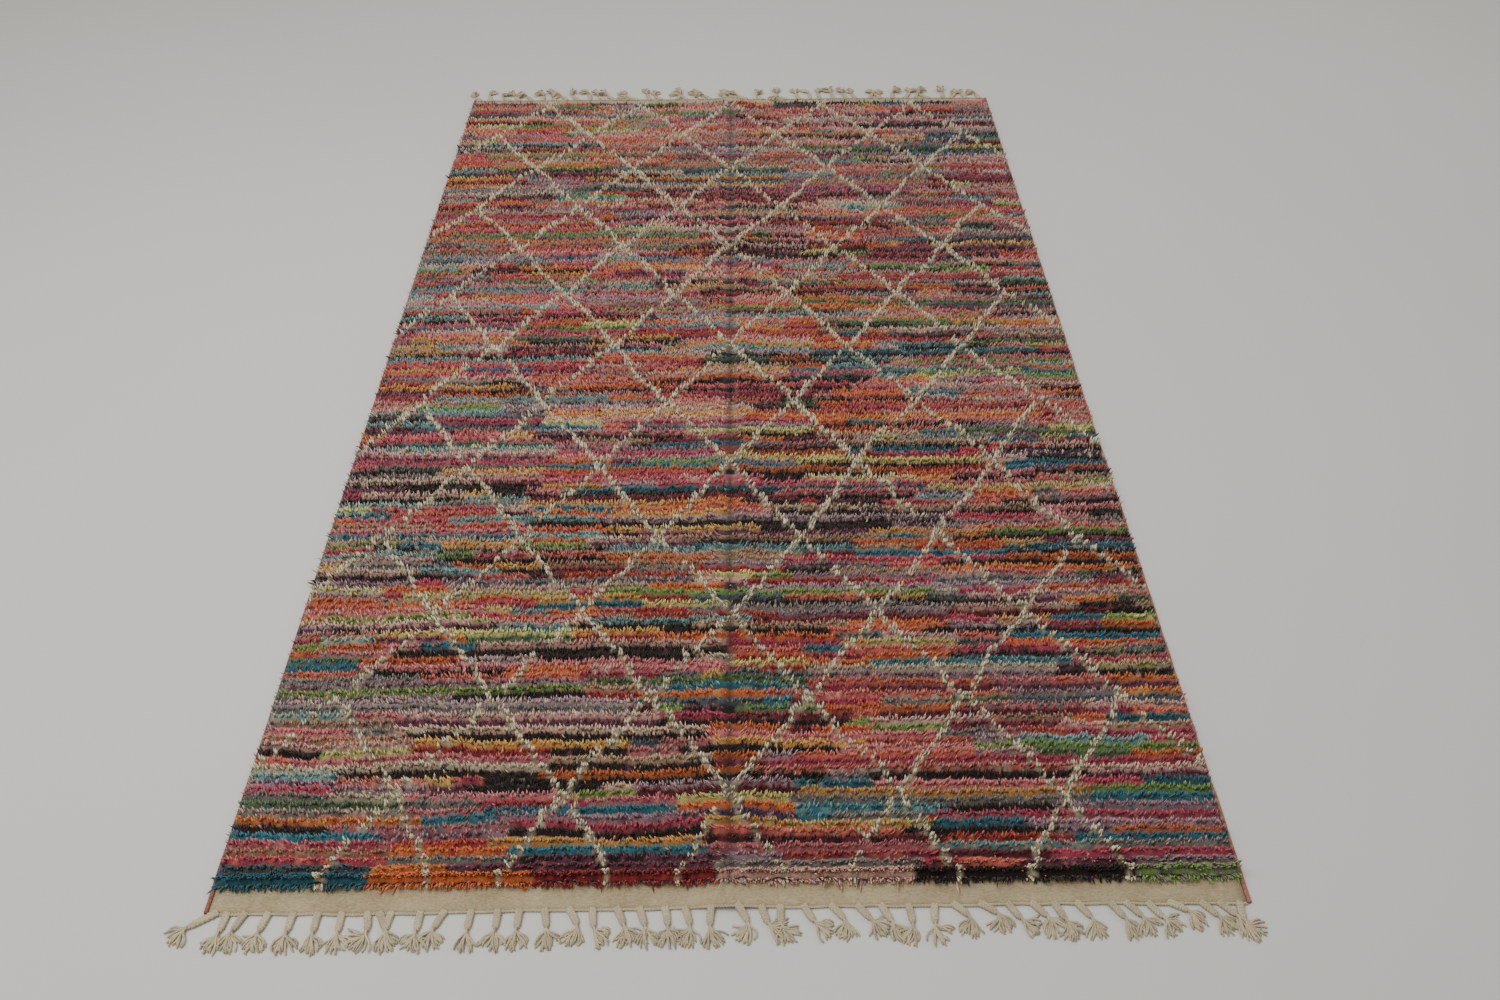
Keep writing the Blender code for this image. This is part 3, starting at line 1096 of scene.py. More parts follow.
@dataclass(frozen=True)
class Tuft:
    """One kind of strand in a row of knots.

    Attributes:
        count: Strands in a row.
        length: Length of a strand outside the body.
        half_width: Half width at its broadest.
        shade: Factor on the yarn's colour from root to tip, painted shade at the root and painted highlight
            towards the tip.
        bellied: Whether it is broadest near its tip, rather than at its root.
        front_face: Whether it hangs over the band from the first row's front.
    """

    count: int
    length: float
    half_width: float
    shade: tuple[float, ...]
    bellied: bool = True
    front_face: bool = False


LONG_TUFT = Tuft(124, 0.0142, 0.00175, (0.62, 1.22, 1.62))
SHORT_TUFT = Tuft(522, 0.0122, 0.00275, (0.72, 1.68), bellied=False)
FRONT_TUFT = Tuft(900, 0.0155, 0.00165, (0.55, 1.15, 1.55), front_face=True)
CREST_TUFT = Tuft(1100, 0.0165, 0.00165, (0.60, 1.15, 1.55))

# Smooth unevenness of the rows, the pile's height and the strands' lean
ROW_WANDER = (SoftNoise((0.16, 0.05), 91, 0.0052), SoftNoise((0.045, 0.03), 92, 0.0026))
SWELL = (SoftNoise((0.24, 0.20), 3, 0.0014), SoftNoise((0.055, 0.032), 4, 0.0018))
CREST = SoftNoise((0.0085, 0.0090), 6, 0.0026)
FRONT_BULGE = SoftNoise((0.020, 0.02), 8, 0.45)
ROW_LOBES = SoftNoise((0.0110, 0.011), 9, 0.0030)
LEAN_ACROSS = (
    SoftNoise((0.034, 0.020), 23, 0.0040), SoftNoise((0.12, 0.10), 29, 0.0026),
    SoftNoise((0.009, 0.010), 37, 0.0036),
)
LEAN_ALONG = (SoftNoise((0.022, 0.030), 31, 0.0020), SoftNoise((0.010, 0.012), 43, 0.0016))
HANG_LOBES = SoftNoise((0.024, 0.02), 55, 0.0030)

# Corners of the body below this share of its height belong to its foot and stay put
FOOT = 0.1


@dataclass(frozen=True)
class Hang:
    """How strands hang out of the first row's front, over the woven band.

    Attributes:
        levels: Lowest and highest root, against the pile's height.
        middle: Level where the front stands furthest out.
        out: How far it stands out there.
        rounding: How fast it recedes above and below.
        reach: How far the tips lie over the band, with its spread.
        loose: Share of strands that lie further out, and how much further.
        spread: Factor on the lean across the rug.
        low: Rise of the tips of one half of the strands, with its spread.
        high: Rise of the others, with its spread.
        lift: How much a higher root adds to the rise.
    """

    levels: tuple[float, float] = (0.16, 0.62)
    middle: float = 0.4
    out: float = 0.0040
    rounding: float = 0.012
    reach: tuple[float, float] = (0.0088, 0.0022)
    loose: tuple[float, float] = (0.03, 2.0)
    spread: float = 1.5
    low: tuple[float, float] = (-0.0020, 0.003)
    high: tuple[float, float] = (0.0085, 0.002)
    lift: float = 0.010


@dataclass
class Pile:
    """The wool pile: a body of rows with a lumpy crest each, and strands that stand out of them.

    Attributes:
        panels: Pieces that the rows are shared out to.
        columns: Faces across the rug in the body.
        height: Height of the pile over the ground.
        raised: How much higher the undyed knots stand.
        foot_gap: Room between the ground and the body's foot.
        inset: How far that foot stays inside the pile's side.
        side_step: Width of the body's outermost faces.
        side_rise: Height of the body at its sides, from the foot inwards.
        side_shade: Factor on the colour of the body's sides, painted shade.
        rough: Unevenness of the body, along the rug and in the other directions.
        calm_rows: Rows over which the rows grow straight towards both ends.
        ragged: How far the ends of the runs are ragged.
        knot_tones: Unevenness of brightness from knot to knot and along the body.
        undyed_depth: Factor on the undyed knots' colour in the body.
        undyed_tones: Least and greatest factor on the undyed yarn's brightness.
        undyed_girth: Factor on the breadth of the undyed strands.
        undyed_lean: Factor on their lean across the rug.
        belly: Where along its length a bellied strand is broadest.
        bow: How late it leans there, and how much it stands up.
        side_room: Room between the outermost strands and the pile's side.
        spacing_noise: Unevenness of the strands' spacing.
        turn_noise: How far the strands' broad sides turn from the near end, in radians.
        turn_up: How far they look upwards.
        stray: Share of a row's strands that take the next row's yarn.
        rooting: Middle and spread of the strands' roots in their row.
        root_range: Range in the row that the roots keep to.
        length_noise: Unevenness of the strands' length.
        girth_noise: Unevenness of their breadth.
        shortest_rise: Least rise of a tip, against the strand's length.
        lean_noise: Unevenness of the lean across and along the rug.
        back_lean: How far tips lean towards the far end.
        near_droop: How much less the first rows do so, and over how many rows.
        far_lean: How much more the last rows do so, and over how many rows.
        overhang: How far the body bulges over the left and the right cord.
        side_lean: How far the outermost tips lean over the left and the right cord.
        side_band: Width of the strip of those tips.
        right_start: Y where the right side's lean starts, and how far it takes to grow.
        fan: How far tips turn away from the fold.
        fan_turn: How fast they change from one way to the other.
        fan_reach: How far from the fold that goes on.
        fan_fall: How sharply it ends.
        parting_depth: How much lower the pile is over the fold.
        parting_width: Half width of the parting.
        body_shade: How much darker the body is over the fold, and that shade's width.
        strand_shade: The same for the strands, with widths against the parting's.
        seed: Seed of the strands.
        hang: How the first row's strands hang over the band.
        lattice: The undyed lattice.
        plan: The plan of the yarns.
        rows: The runs of each row.
    """

    panels: int = 5
    columns: int = 220
    height: float = 0.0180
    raised: float = 0.0022
    foot_gap: float = 0.0004
    inset: float = 0.0015
    side_step: float = 0.003
    side_rise: tuple[float, float, float] = (0.03, 0.42, 0.90)
    side_shade: float = 0.75
    rough: tuple[float, float] = (0.0009, 0.0006)
    calm_rows: int = 6
    ragged: float = 0.0035
    knot_tones: tuple[float, float] = (0.06, 0.08)
    undyed_depth: float = 0.72
    undyed_tones: tuple[float, float] = (0.90, 1.08)
    undyed_girth: float = 1.2
    undyed_lean: float = 0.65
    belly: float = 0.74
    bow: tuple[float, float] = (1.6, 1.06)
    side_room: float = 0.001
    spacing_noise: float = 0.3
    turn_noise: float = 0.6
    turn_up: float = 0.35
    stray: float = 0.04
    rooting: tuple[float, float] = (0.52, 0.12)
    root_range: tuple[float, float] = (0.06, 0.94)
    length_noise: float = 0.09
    girth_noise: float = 0.14
    shortest_rise: float = 0.35
    lean_noise: tuple[float, float] = (0.0014, 0.0012)
    back_lean: float = 0.0036
    near_droop: tuple[float, float] = (0.0072, 2.0)
    far_lean: tuple[float, float] = (0.0030, 1.1)
    overhang: tuple[float, float] = (0.0062, 0.0022)
    side_lean: tuple[float, float] = (0.0095, 0.0040)
    side_band: float = 0.012
    right_start: tuple[float, float] = (-1.15, 0.20)
    fan: float = 0.0078
    fan_turn: float = 0.008
    fan_reach: float = 0.030
    fan_fall: float = 1.3
    parting_depth: float = 0.0080
    parting_width: float = 0.013
    body_shade: tuple[float, float] = (0.60, 0.6)
    strand_shade: tuple[float, float] = (0.40, 0.5)
    seed: int = 5
    hang: Hang = field(default_factory=Hang)
    lattice: Lattice = field(default_factory=Lattice)
    plan: RunPlan = field(default_factory=RunPlan)
    rows: list[list[Run]] = field(default_factory=list)

    @property
    def pitch(self) -> float:
        """Give the distance from row to row."""
        return self.plan.length / self.plan.rows

    def row_front(self, row: int, x: np.ndarray) -> np.ndarray:
        """Give Y of a row's front.

        Args:
            row: Number of the row from the near end.
            x: Places across the rug.

        Returns:
            Y at each place, with the row's slight wander.
        """
        front = -self.plan.length / 2 + row * self.pitch
        calm = min(1.0, (self.plan.rows - row) / self.calm_rows, row / self.calm_rows)
        return front + total(ROW_WANDER, x, np.full_like(x, front)) * calm

    def row_yarn(self, row: int, x: np.ndarray, dice: np.random.Generator) -> tuple[np.ndarray, np.ndarray]:
        """Choose each knot's yarn.

        Args:
            row: Number of the row.
            x: Places of the knots.
            dice: Source of chance.

        Returns:
            Linear colour of each knot, and which of them are undyed.
        """
        runs = self.rows[row]
        stops = np.array([run.stop for run in runs])
        ragged = x + dice.normal(0, self.ragged, len(x))
        index = np.minimum(np.searchsorted(stops, ragged), len(runs) - 1)
        own = np.array([linear(run.yarn.value) for run in runs])[index]
        other = np.array([linear(run.partner.value) for run in runs])[index]
        share = np.array([run.share for run in runs])[index]
        tone = np.array([run.tone for run in runs])[index]
        swap = (dice.random(len(x)) < share)[:, None]
        colour = np.where(swap, other, own)
        undyed = self.lattice.tied(x, float(self.row_front(row, np.zeros(1))[0]), row)
        colour = colour * (tone * np.exp(dice.normal(0, self.knot_tones[0], len(x))))[:, None]
        cream = dice.uniform(*self.undyed_tones, (int(undyed.sum()), 1))
        colour[undyed] = linear(Yarn.CREAM.value) * cream
        return colour, undyed

    def tall(self, x: np.ndarray, y: np.ndarray, undyed: np.ndarray) -> np.ndarray:
        """Give the height of the pile's body.

        Args:
            x: Places across the rug.
            y: Places along the rug.
            undyed: Which of them belong to the lattice.

        Returns:
            Height over the ground at each place.
        """
        parting = self.parting_depth * near_fold(x, self.parting_width)
        lumps = total(SWELL, x, y) + CREST.at(x, y)
        return self.height + lumps - parting + np.where(undyed, self.raised, 0.0)

    def body_line(self, row: int, station: Station, x: np.ndarray, colour: np.ndarray, undyed: np.ndarray,
                  edge: np.ndarray, dice: np.random.Generator) -> tuple[np.ndarray, np.ndarray]:
        """Place one line of the pile's body.

        Args:
            row: Number of the row.
            station: Which line of the row.
            x: Places across the rug.
            colour: Colour of each knot.
            undyed: Which knots belong to the lattice.
            edge: Height of the body towards the sides, against its own.
            dice: Source of chance.

        Returns:
            The line's points and their colours.
        """
        count = len(x)
        rough_along, rough = self.rough
        above_foot = edge > FOOT
        front = self.row_front(row, x)
        back = self.row_front(row + 1, x)
        y = front + station.share * (back - front)
        y = y + station.shift * (1 + FRONT_BULGE.at(x, y))
        lobes = ROW_LOBES.at(x, y) + dice.normal(0, rough_along, count)
        y = y + lobes * (station.height > FOOT)
        z = self.tall(x, y, undyed) * station.height * edge
        z += dice.normal(0, rough, count) * min(1.0, station.height * 1.2) * above_foot
        z += fold_lift(x) + WEAVE_THICKNESS + self.foot_gap
        side = x + dice.normal(0, rough, count) * above_foot
        # Painted shade from the line's depth, the body's sides and the parting, on top of uneven tone from
        # knot to knot.
        shade = station.tone * np.exp(dice.normal(0, self.knot_tones[1], count))
        shade *= np.where(edge < self.side_rise[2], self.side_shade, 1.0)
        depth, width = self.body_shade
        shade *= 1 - depth * near_fold(x, self.parting_width * width)
        return np.stack([place_across(side, y), y, z], axis=1), colour * shade[:, None]

    def body(self, first: int, last: int) -> MeshBatch:
        """Make the body of a panel's rows, closed all round.

        Args:
            first: The first row.
            last: The row after the last one.

        Returns:
            The body.
        """
        half = self.plan.half_width - self.inset
        inner = np.linspace(-half + self.side_step, half - self.side_step, self.columns - 3)
        bulge = half + np.array(self.overhang)
        x = np.concatenate([[-half, -bulge[0]], inner, [bulge[1], half]])
        edge = np.ones(len(x))
        edge[:3], edge[-3:] = self.side_rise, self.side_rise[::-1]
        points, colours = [], []
        for row in range(first, last):
            stations = ROW_BODY
            if row == 0:
                stations = FRONT_BODY
            elif row == first:
                stations = FRONT_FOOT + ROW_BODY
            if row == last - 1:
                stations += BACK_BODY if last == self.plan.rows else BACK_FOOT
            colour, undyed = self.row_yarn(row, x, np.random.default_rng(self.seed * 71 + row))
            colour[undyed] *= self.undyed_depth
            row_dice = np.random.default_rng(self.seed * 131 + row)
            for station in stations:
                line, shade = self.body_line(row, station, x, colour, undyed, edge, row_dice)
                if station in BACK_FOOT or station in FRONT_FOOT:
                    line[:, 1] = self.row_front(row + round(station.share), x)
                points.append(line)
                colours.append(shade)
        return wrapped(np.array(points), np.array(colours))

    def leans(self, row: int, x: np.ndarray, y: np.ndarray, dice: np.random.Generator) -> np.ndarray:
        """Say how far the tips stand off their roots.

        Args:
            row: Number of the row.
            x: Roots across the rug.
            y: Roots along the rug.
            dice: Source of chance.

        Returns:
            Offsets across and along, (strands, 2).
        """
        across_noise, along_noise = self.lean_noise
        across = total(LEAN_ACROSS, x, y) + dice.normal(0, across_noise, len(x))
        fanned = np.exp(-((np.abs(x) / self.fan_reach) ** self.fan_fall))
        across += np.tanh(x / self.fan_turn) * fanned * self.fan
        start, growth = self.right_start
        left, right = self.side_lean
        reach = np.where(x < 0, left, right * np.clip((y - start) / growth, 0, 1))
        outer = (np.abs(x) - (self.plan.half_width - self.side_band)) / self.side_band
        across += np.sign(x) * np.clip(outer, 0, 1) * reach
        along = total(LEAN_ALONG, x, y) + dice.normal(0, along_noise, len(x)) + self.back_lean
        along -= self.near_droop[0] * math.exp(-row / self.near_droop[1])
        along += self.far_lean[0] * math.exp(-(self.plan.rows - 1 - row) / self.far_lean[1])
        return np.stack([across, along], axis=1)

    def hung(self, x: np.ndarray, y: np.ndarray, front: np.ndarray, lean: np.ndarray,
             dice: np.random.Generator) -> tuple[np.ndarray, np.ndarray, np.ndarray]:
        """Let strands hang out of the first row's front.

        Args:
            x: Roots across the rug.
            y: Roots along the rug.
            front: Y of the row's front.
            lean: Offsets of the tips, which are changed.
            dice: Source of chance.

        Returns:
            Y and level of the roots, and the rise of the tips.
        """
        hang, count = self.hang, len(x)
        level = dice.uniform(*hang.levels, count)
        lobes = HANG_LOBES.at(x, y)
        height = level - hang.middle
        loose = np.where(dice.random(count) < hang.loose[0], hang.loose[1], 1.0)
        lean[:, 1] = -np.abs(dice.normal(*hang.reach, count) + lobes) * loose
        lean[:, 0] *= hang.spread
        low = dice.random(count) < 0.5
        rise = np.where(low, dice.normal(*hang.low, count), dice.normal(*hang.high, count))
        return front - hang.out + height**2 * hang.rounding, level, rise + height * hang.lift

    def strands(self, row: int, tuft: Tuft) -> StrandBatch:
        """Make the strands of one kind that stand out of one row.

        Args:
            row: Number of the row from the near end.
            tuft: The kind of strand.

        Returns:
            The row's strands.
        """
        dice = np.random.default_rng(self.seed * 10007 + row * 7 + tuft.count)
        half = self.plan.half_width - self.side_room
        count = tuft.count
        step = 2 * half / count
        x = -half + step * (np.arange(count) + 0.5) + dice.normal(0, self.spacing_noise * step, count)
        x = np.clip(x, -half, half)
        colour, undyed = self.row_yarn(row, x, dice)
        share = np.clip(dice.normal(*self.rooting, count), *self.root_range)
        strayed = (dice.random(count) < self.stray) & ~undyed
        next_colour, next_undyed = self.row_yarn(min(row + 1, self.plan.rows - 1), x, dice)
        strayed &= ~next_undyed
        colour[strayed] = next_colour[strayed]
        front = self.row_front(row, x)
        y = front + share * self.pitch
        lean = self.leans(row, x, y, dice)
        lean[undyed, 0] *= self.undyed_lean
        body = self.tall(x, y, undyed)
        profile = ROW_BODY if row else FRONT_BODY[2:]
        level = np.interp(share, [part.share for part in profile], [part.height for part in profile])
        length = tuft.length * (1 + self.length_noise * dice.normal(0, 1, count)) * (body / self.height)
        slant = np.hypot(lean[:, 0], lean[:, 1])
        rise = np.sqrt(np.maximum(length**2 - slant**2, (self.shortest_rise * length) ** 2))
        if tuft.front_face:
            y, level, rise = self.hung(x, y, front, lean, dice)
        ground = fold_lift(x) + WEAVE_THICKNESS
        root_z = ground + np.maximum(body * level - ROOT_DEPTH, LOWEST_ROOT)
        root = np.stack([place_across(x, y), y, root_z], axis=1)
        tip = root + np.column_stack([lean, rise])
        girth = np.where(undyed, self.undyed_girth, 1.0) * np.exp(dice.normal(0, self.girth_noise, count))
        turn = dice.normal(0, self.turn_noise, count)
        facing = np.stack([np.sin(turn), -np.cos(turn), np.full(count, self.turn_up)], axis=1)
        late, stand = self.bow
        bow = np.column_stack([lean * self.belly**late, rise * self.belly * stand])
        lines = np.stack([root, root + bow, tip] if tuft.bellied else [root, tip], axis=1)
        widths = np.outer(girth * tuft.half_width, BELLIED if tuft.bellied else STRAIGHT)
        lines[:, 1:, 2] = np.clip(lines[:, 1:, 2], ground[:, None] + LOWEST_END, HIGHEST_END)
        # Painted shade over the parting, and along each strand painted shade at the root and painted
        # highlight at the tip.
        depth, width = self.strand_shade
        parted = 1 - depth * near_fold(x, self.parting_width * width)
        colour = colour * (parted * np.exp(dice.normal(0, self.knot_tones[0], count)))[:, None]
        shades = colour[:, None, :] * np.array(tuft.shade)[None, :, None]
        kind = Strand(3, len(tuft.shade), True)
        return StrandBatch(kind, lines, widths, widths * FLATNESS, facing, shades)

    def build(self) -> list[bpy.types.Object]:
        """Build the pile.

        Returns:
            Its panels.
        """
        self.rows = self.plan.plan()
        wool = PileFinish("dyed wool pile").material()
        pieces = []
        edges = np.linspace(0, self.plan.rows, self.panels + 1).round().astype(int)
        for number, (first, last) in enumerate(zip(edges[:-1], edges[1:]), start=1):
            batches = [self.body(int(first), int(last))]
            for row in range(first, last):
                batches += [self.strands(row, tuft) for tuft in (LONG_TUFT, SHORT_TUFT)]
            if first == 0:
                batches += [self.strands(0, tuft) for tuft in (FRONT_TUFT, CREST_TUFT)]
            panel = join_strands(f"pile_panel_{number}", batches)
            panel.data.materials.append(wool)
            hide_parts("pile_field")
            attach(panel, BODY)
            pieces.append(panel)
        return pieces


# The flat-woven ground and its edges

@dataclass
class Ground:
    """The woven ground, which shows as a pale band at both ends.

    Attributes:
        columns: Faces across.
        band_stations: Lines of corners along each end band.
        middle_stations: Lines of corners along the part under the pile.
        thickness: Thickness of the cloth.
        unevenness: The cloth's own soft lumps.
        floor_gap: Room between the cloth and the floor.
        band_reach: How far the finer stations reach in from each end, against the band.
    """

    columns: int = 96
    band_stations: int = 9
    middle_stations: int = 22
    thickness: float = 0.0021
    unevenness: SoftNoise = SoftNoise((0.045, 0.03), 61, 0.0007)
    floor_gap: float = 0.0003
    band_reach: float = 1.4

    def build(self) -> bpy.types.Object:
        """Build the ground as one sheet of cloth."""
        band = self.band_reach * END_BAND / RUG_LENGTH
        shares = np.concatenate([
            np.linspace(0, band, self.band_stations),
            np.linspace(band, 1 - band, self.middle_stations)[1:-1],
            np.linspace(1 - band, 1, self.band_stations),
        ])
        bm, column, line = numbered_grid(self.columns, len(shares) - 1)
        x = (column / self.columns * 2 - 1) * HALF_WEAVE
        near, far = end_line(End.NEAR, x), end_line(End.FAR, x)
        y = near + shares[line] * (far - near)
        z = fold_lift(x) + np.abs(self.unevenness.at(x, y)) + self.floor_gap
        move_corners(bm, np.stack([place_across(x, y), y, z], axis=1))
        bmesh.ops.recalc_face_normals(bm, faces=bm.faces)
        grown = bmesh.ops.extrude_face_region(bm, geom=bm.faces[:], use_keep_orig=True)["geom"]
        top = [item for item in grown if isinstance(item, bmesh.types.BMVert)]
        bmesh.ops.translate(bm, vec=(0, 0, self.thickness), verts=top)
        bmesh.ops.recalc_face_normals(bm, faces=bm.faces)
        piece = finish_mesh("woven_ground", bm)
        piece.data.materials.append(WeaveFinish().material())
        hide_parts("ground_weave")
        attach(piece, BODY)
        return piece


# How far the twist and the stems' roots follow the weave where the fold lifts it
FOLD_FOLLOW = 0.8


@dataclass
class TwinedEdge:
    """The two-ply twist that locks the weave at one end.

    Attributes:
        end: The short end.
        ply: Radius of one ply.
        breadth: Its half width against that radius.
        swing: How far it circles across and upwards, against that radius.
        pitch: Length of one full turn.
        steps: Stations in one turn.
        lift: Height of the twist's middle over the floor.
        out: How far it lies outside the weave's edge.
        sag: How far it wavers from that.
        colour: Colour of the yarn, from 0 to 255.
    """

    end: End
    ply: float = 0.0013
    breadth: float = 1.05
    swing: tuple[float, float] = (0.9, 0.8)
    pitch: float = 0.0085
    steps: int = 5
    lift: float = 0.0026
    out: float = 0.0005
    sag: float = 0.0012
    colour: tuple[float, float, float] = (206, 190, 160)

    def build(self) -> bpy.types.Object:
        """Build the twist as one piece."""
        count = int(2 * HALF_WEAVE / self.pitch * self.steps)
        x = np.linspace(-HALF_WEAVE, HALF_WEAVE, count)
        dip = SoftNoise((0.030, 0.03), 71 + self.end.value, self.sag).at(x, np.zeros(count))
        y = end_line(self.end, x) + self.end.value * (self.out + dip)
        across, upwards = self.swing
        plies = []
        for half in (0.0, math.pi):
            turn = math.tau * x / self.pitch + half
            centres = np.stack([
                x,
                y + np.cos(turn) * self.ply * across,
                fold_lift(x) * FOLD_FOLLOW + self.lift + np.sin(turn) * self.ply * upwards,
            ], axis=1)
            width = np.full(count, self.ply * self.breadth)
            plies.append(tube(centres, width, width, 4))
        name = f"twined_edge_{self.end.name.lower()}"
        piece = finish_mesh(name, merge(plies))
        tone = linear(self.colour)
        paint(piece.data, np.broadcast_to(tone, (len(piece.data.vertices), 3)))
        piece.data.materials.append(CordFinish(f"twined yarn {self.end.name.lower()}").material())
        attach(piece, BODY)
        return piece


@dataclass
class SideCord:
    """The overcast cord along one long side.

    Attributes:
        side: The long side.
        wrap: Length of cord that one wrap of yarn covers.
        steps: Stations in one wrap.
        swell: How far a wrap stands over the groove beside it.
        uneven: How much its thickness varies.
        seat: Height of its middle over the floor, against its radius.
        flatness: Its height against its width.
        waver: How far the cord wavers sideways.
        short: How far it stops before the weave's ends.
        slant: How far the wraps slant along the cord, against their height.
        colour: Its wool's darker colour, from 0 to 255.
        pale: Its paler colour, from 0 to 255.
        shades: Wraps after which the shades start again.
        underside_shade: Factor on the colour at the floor, painted shade under the cord.
        brightening: How fast that painted shade fades upwards from there.
    """

    side: Side
    wrap: float = 0.0042
    steps: int = 3
    swell: float = 0.14
    uneven: float = 0.06
    seat: float = 0.86
    flatness: float = 0.84
    waver: float = 0.0006
    short: float = 0.001
    slant: float = 0.5
    colour: tuple[float, float, float] = (150, 88, 78)
    pale: tuple[float, float, float] = (180, 126, 108)
    shades: int = 1200
    underside_shade: float = 0.55
    brightening: float = 1.6

    def build(self) -> bpy.types.Object:
        """Build the cord with its wraps."""
        edge = self.side.value * RUG_WIDTH / 2
        low = float(end_line(End.NEAR, np.array([edge]))[0]) + self.short
        high = float(end_line(End.FAR, np.array([edge]))[0]) - self.short
        count = int((high - low) / self.wrap * self.steps)
        y = np.linspace(low, high, count)
        radius = CORD_WIDTH / 2
        x = place_across(np.full(count, self.side.value * HALF_WEAVE), y) + self.side.value * radius
        wobble = SoftNoise((1.0, 0.03), 81 + self.side.value).at(np.zeros(count), y)
        phase = (np.arange(count) % self.steps) / self.steps
        wraps = 1 - self.swell * (phase == 0)
        thick = radius * (1 - self.uneven + self.uneven * wobble) * wraps
        x = x + wobble * self.waver
        z = np.full(count, radius * self.seat)
        bm = tube(np.stack([x, y, z], axis=1), thick, thick * self.flatness, 6)
        for vert in bm.verts:
            vert.co.y += (vert.co.z - radius) * self.slant
        piece = finish_mesh(f"overcast_{self.side.name.lower()}", bm)
        place = np.array([vert.co[:] for vert in piece.data.vertices])
        number = np.floor((place[:, 1] - place[:, 2] * self.slant + 2) / self.wrap).astype(int)
        shares = np.random.default_rng(7 + self.side.value).random(self.shades)
        share = shares[number % len(shares)][:, None]
        tone = linear(self.colour) * (1 - share) + linear(self.pale) * share
        # Painted shade: the cord darkens towards the floor under it.
        height = np.clip(place[:, 2:3] / CORD_WIDTH * self.brightening, 0, 1)
        paint(piece.data, tone * (self.underside_shade + (1 - self.underside_shade) * height))
        piece.data.materials.append(CordFinish(f"overcast wool {self.side.name.lower()}").material())
        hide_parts(f"selvedge_{self.side.name.lower()}")
        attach(piece, BODY)
        return piece


# The tassels

@dataclass(frozen=True)
class Tassel:
    """How one tassel lies.

    Attributes:
        place: Root, as a share of the weave's width from left to right.
        lean: Heading of the stem at its root, in degrees to the right of straight out.
        turn: Heading that the brush ends in, in degrees.
        stem: Length of the braided stem.
    """

    place: float
    lean: float
    turn: float
    stem: float


# The near tassels from left to right: place, lean of the stem and heading of the brush
NEAR_TASSELS = (
    (0.004, -62, -40), (0.013, -6, -22), (0.031, -28, 6), (0.053, -14, -10), (0.077, -6, 2),
    (0.101, -2, 4), (0.124, 0, 10), (0.148, 20, -58), (0.160, 30, 18), (0.172, -12, 22),
    (0.200, -2, -6), (0.224, -30, 8), (0.249, -4, 6), (0.275, 0, -10), (0.296, -3, 6),
    (0.320, 12, 8), (0.343, 38, -28), (0.367, 2, 48), (0.390, 26, 10), (0.412, 20, 14),
    (0.437, 12, 0), (0.456, 22, -26), (0.482, -5, 16), (0.507, 40, -34), (0.531, 13, 72),
    (0.550, -6, 50), (0.572, 26, 66), (0.598, 46, -6), (0.624, 40, 40), (0.647, 28, 34),
    (0.674, 12, -28), (0.700, -10, 32), (0.717, 55, -8), (0.743, 64, 4), (0.771, 30, 62),
    (0.794, 46, 20), (0.816, 26, 26), (0.838, 40, 8), (0.871, 36, 18), (0.886, 46, 10),
    (0.908, 34, 52), (0.928, 66, 30), (0.960, 45, 30), (0.977, 48, 20), (0.998, -10, 58),
)
FIRST_STEM = 0.044
NEAR_STEM = 0.029

# Places along a braid and along a loose cord, and the factors on their breadth there
BRAID_TAPER = ((0.0, 0.12, 0.80, 1.0), (0.80, 1.0, 0.92, 0.50))
CORD_TAPER = ((0.0, 0.2, 0.85, 1.0), (1.1, 1.0, 1.1, 0.9))

UP = (0.0, 0.0, 1.0)

# How the far tassels lie: place from left to right and lean in degrees, and how far they scatter from that
FAR_LEAN = ((0.00, -42.0), (0.20, -36.0), (0.40, -22.0), (0.60, -34.0), (0.80, -6.0), (1.00, 26.0))
FAR_EDGE = 0.006
FAR_SHIFT = 0.004
FAR_SCATTER = (30.0, 46.0)
FAR_TURN = 0.7
FAR_STEM = (0.027, 0.038)
FAR_COUNT = 42
FAR_SEED = 34


def near_tassels() -> list[Tassel]:
    """Lay out the near tassels, of which the first lies long and far out."""
    tassels = [Tassel(place, lean, turn, NEAR_STEM) for place, lean, turn in NEAR_TASSELS]
    first = tassels[0]
    tassels[0] = Tassel(first.place, first.lean, first.turn, FIRST_STEM)
    return tassels


def far_tassels() -> list[Tassel]:
    """Lay out the far tassels, which lie in mixed directions."""
    dice = np.random.default_rng(FAR_SEED)
    places = np.linspace(FAR_EDGE, 1 - FAR_EDGE, FAR_COUNT) + dice.normal(0, FAR_SHIFT, FAR_COUNT)
    where, trend = zip(*FAR_LEAN)
    tassels = []
    for place in places:
        lean = float(np.interp(place, where, trend)) + dice.normal(0, FAR_SCATTER[0])
        turn = lean * FAR_TURN + dice.normal(0, FAR_SCATTER[1])
        tassels.append(Tassel(float(place), lean, turn, dice.uniform(*FAR_STEM)))
    return tassels


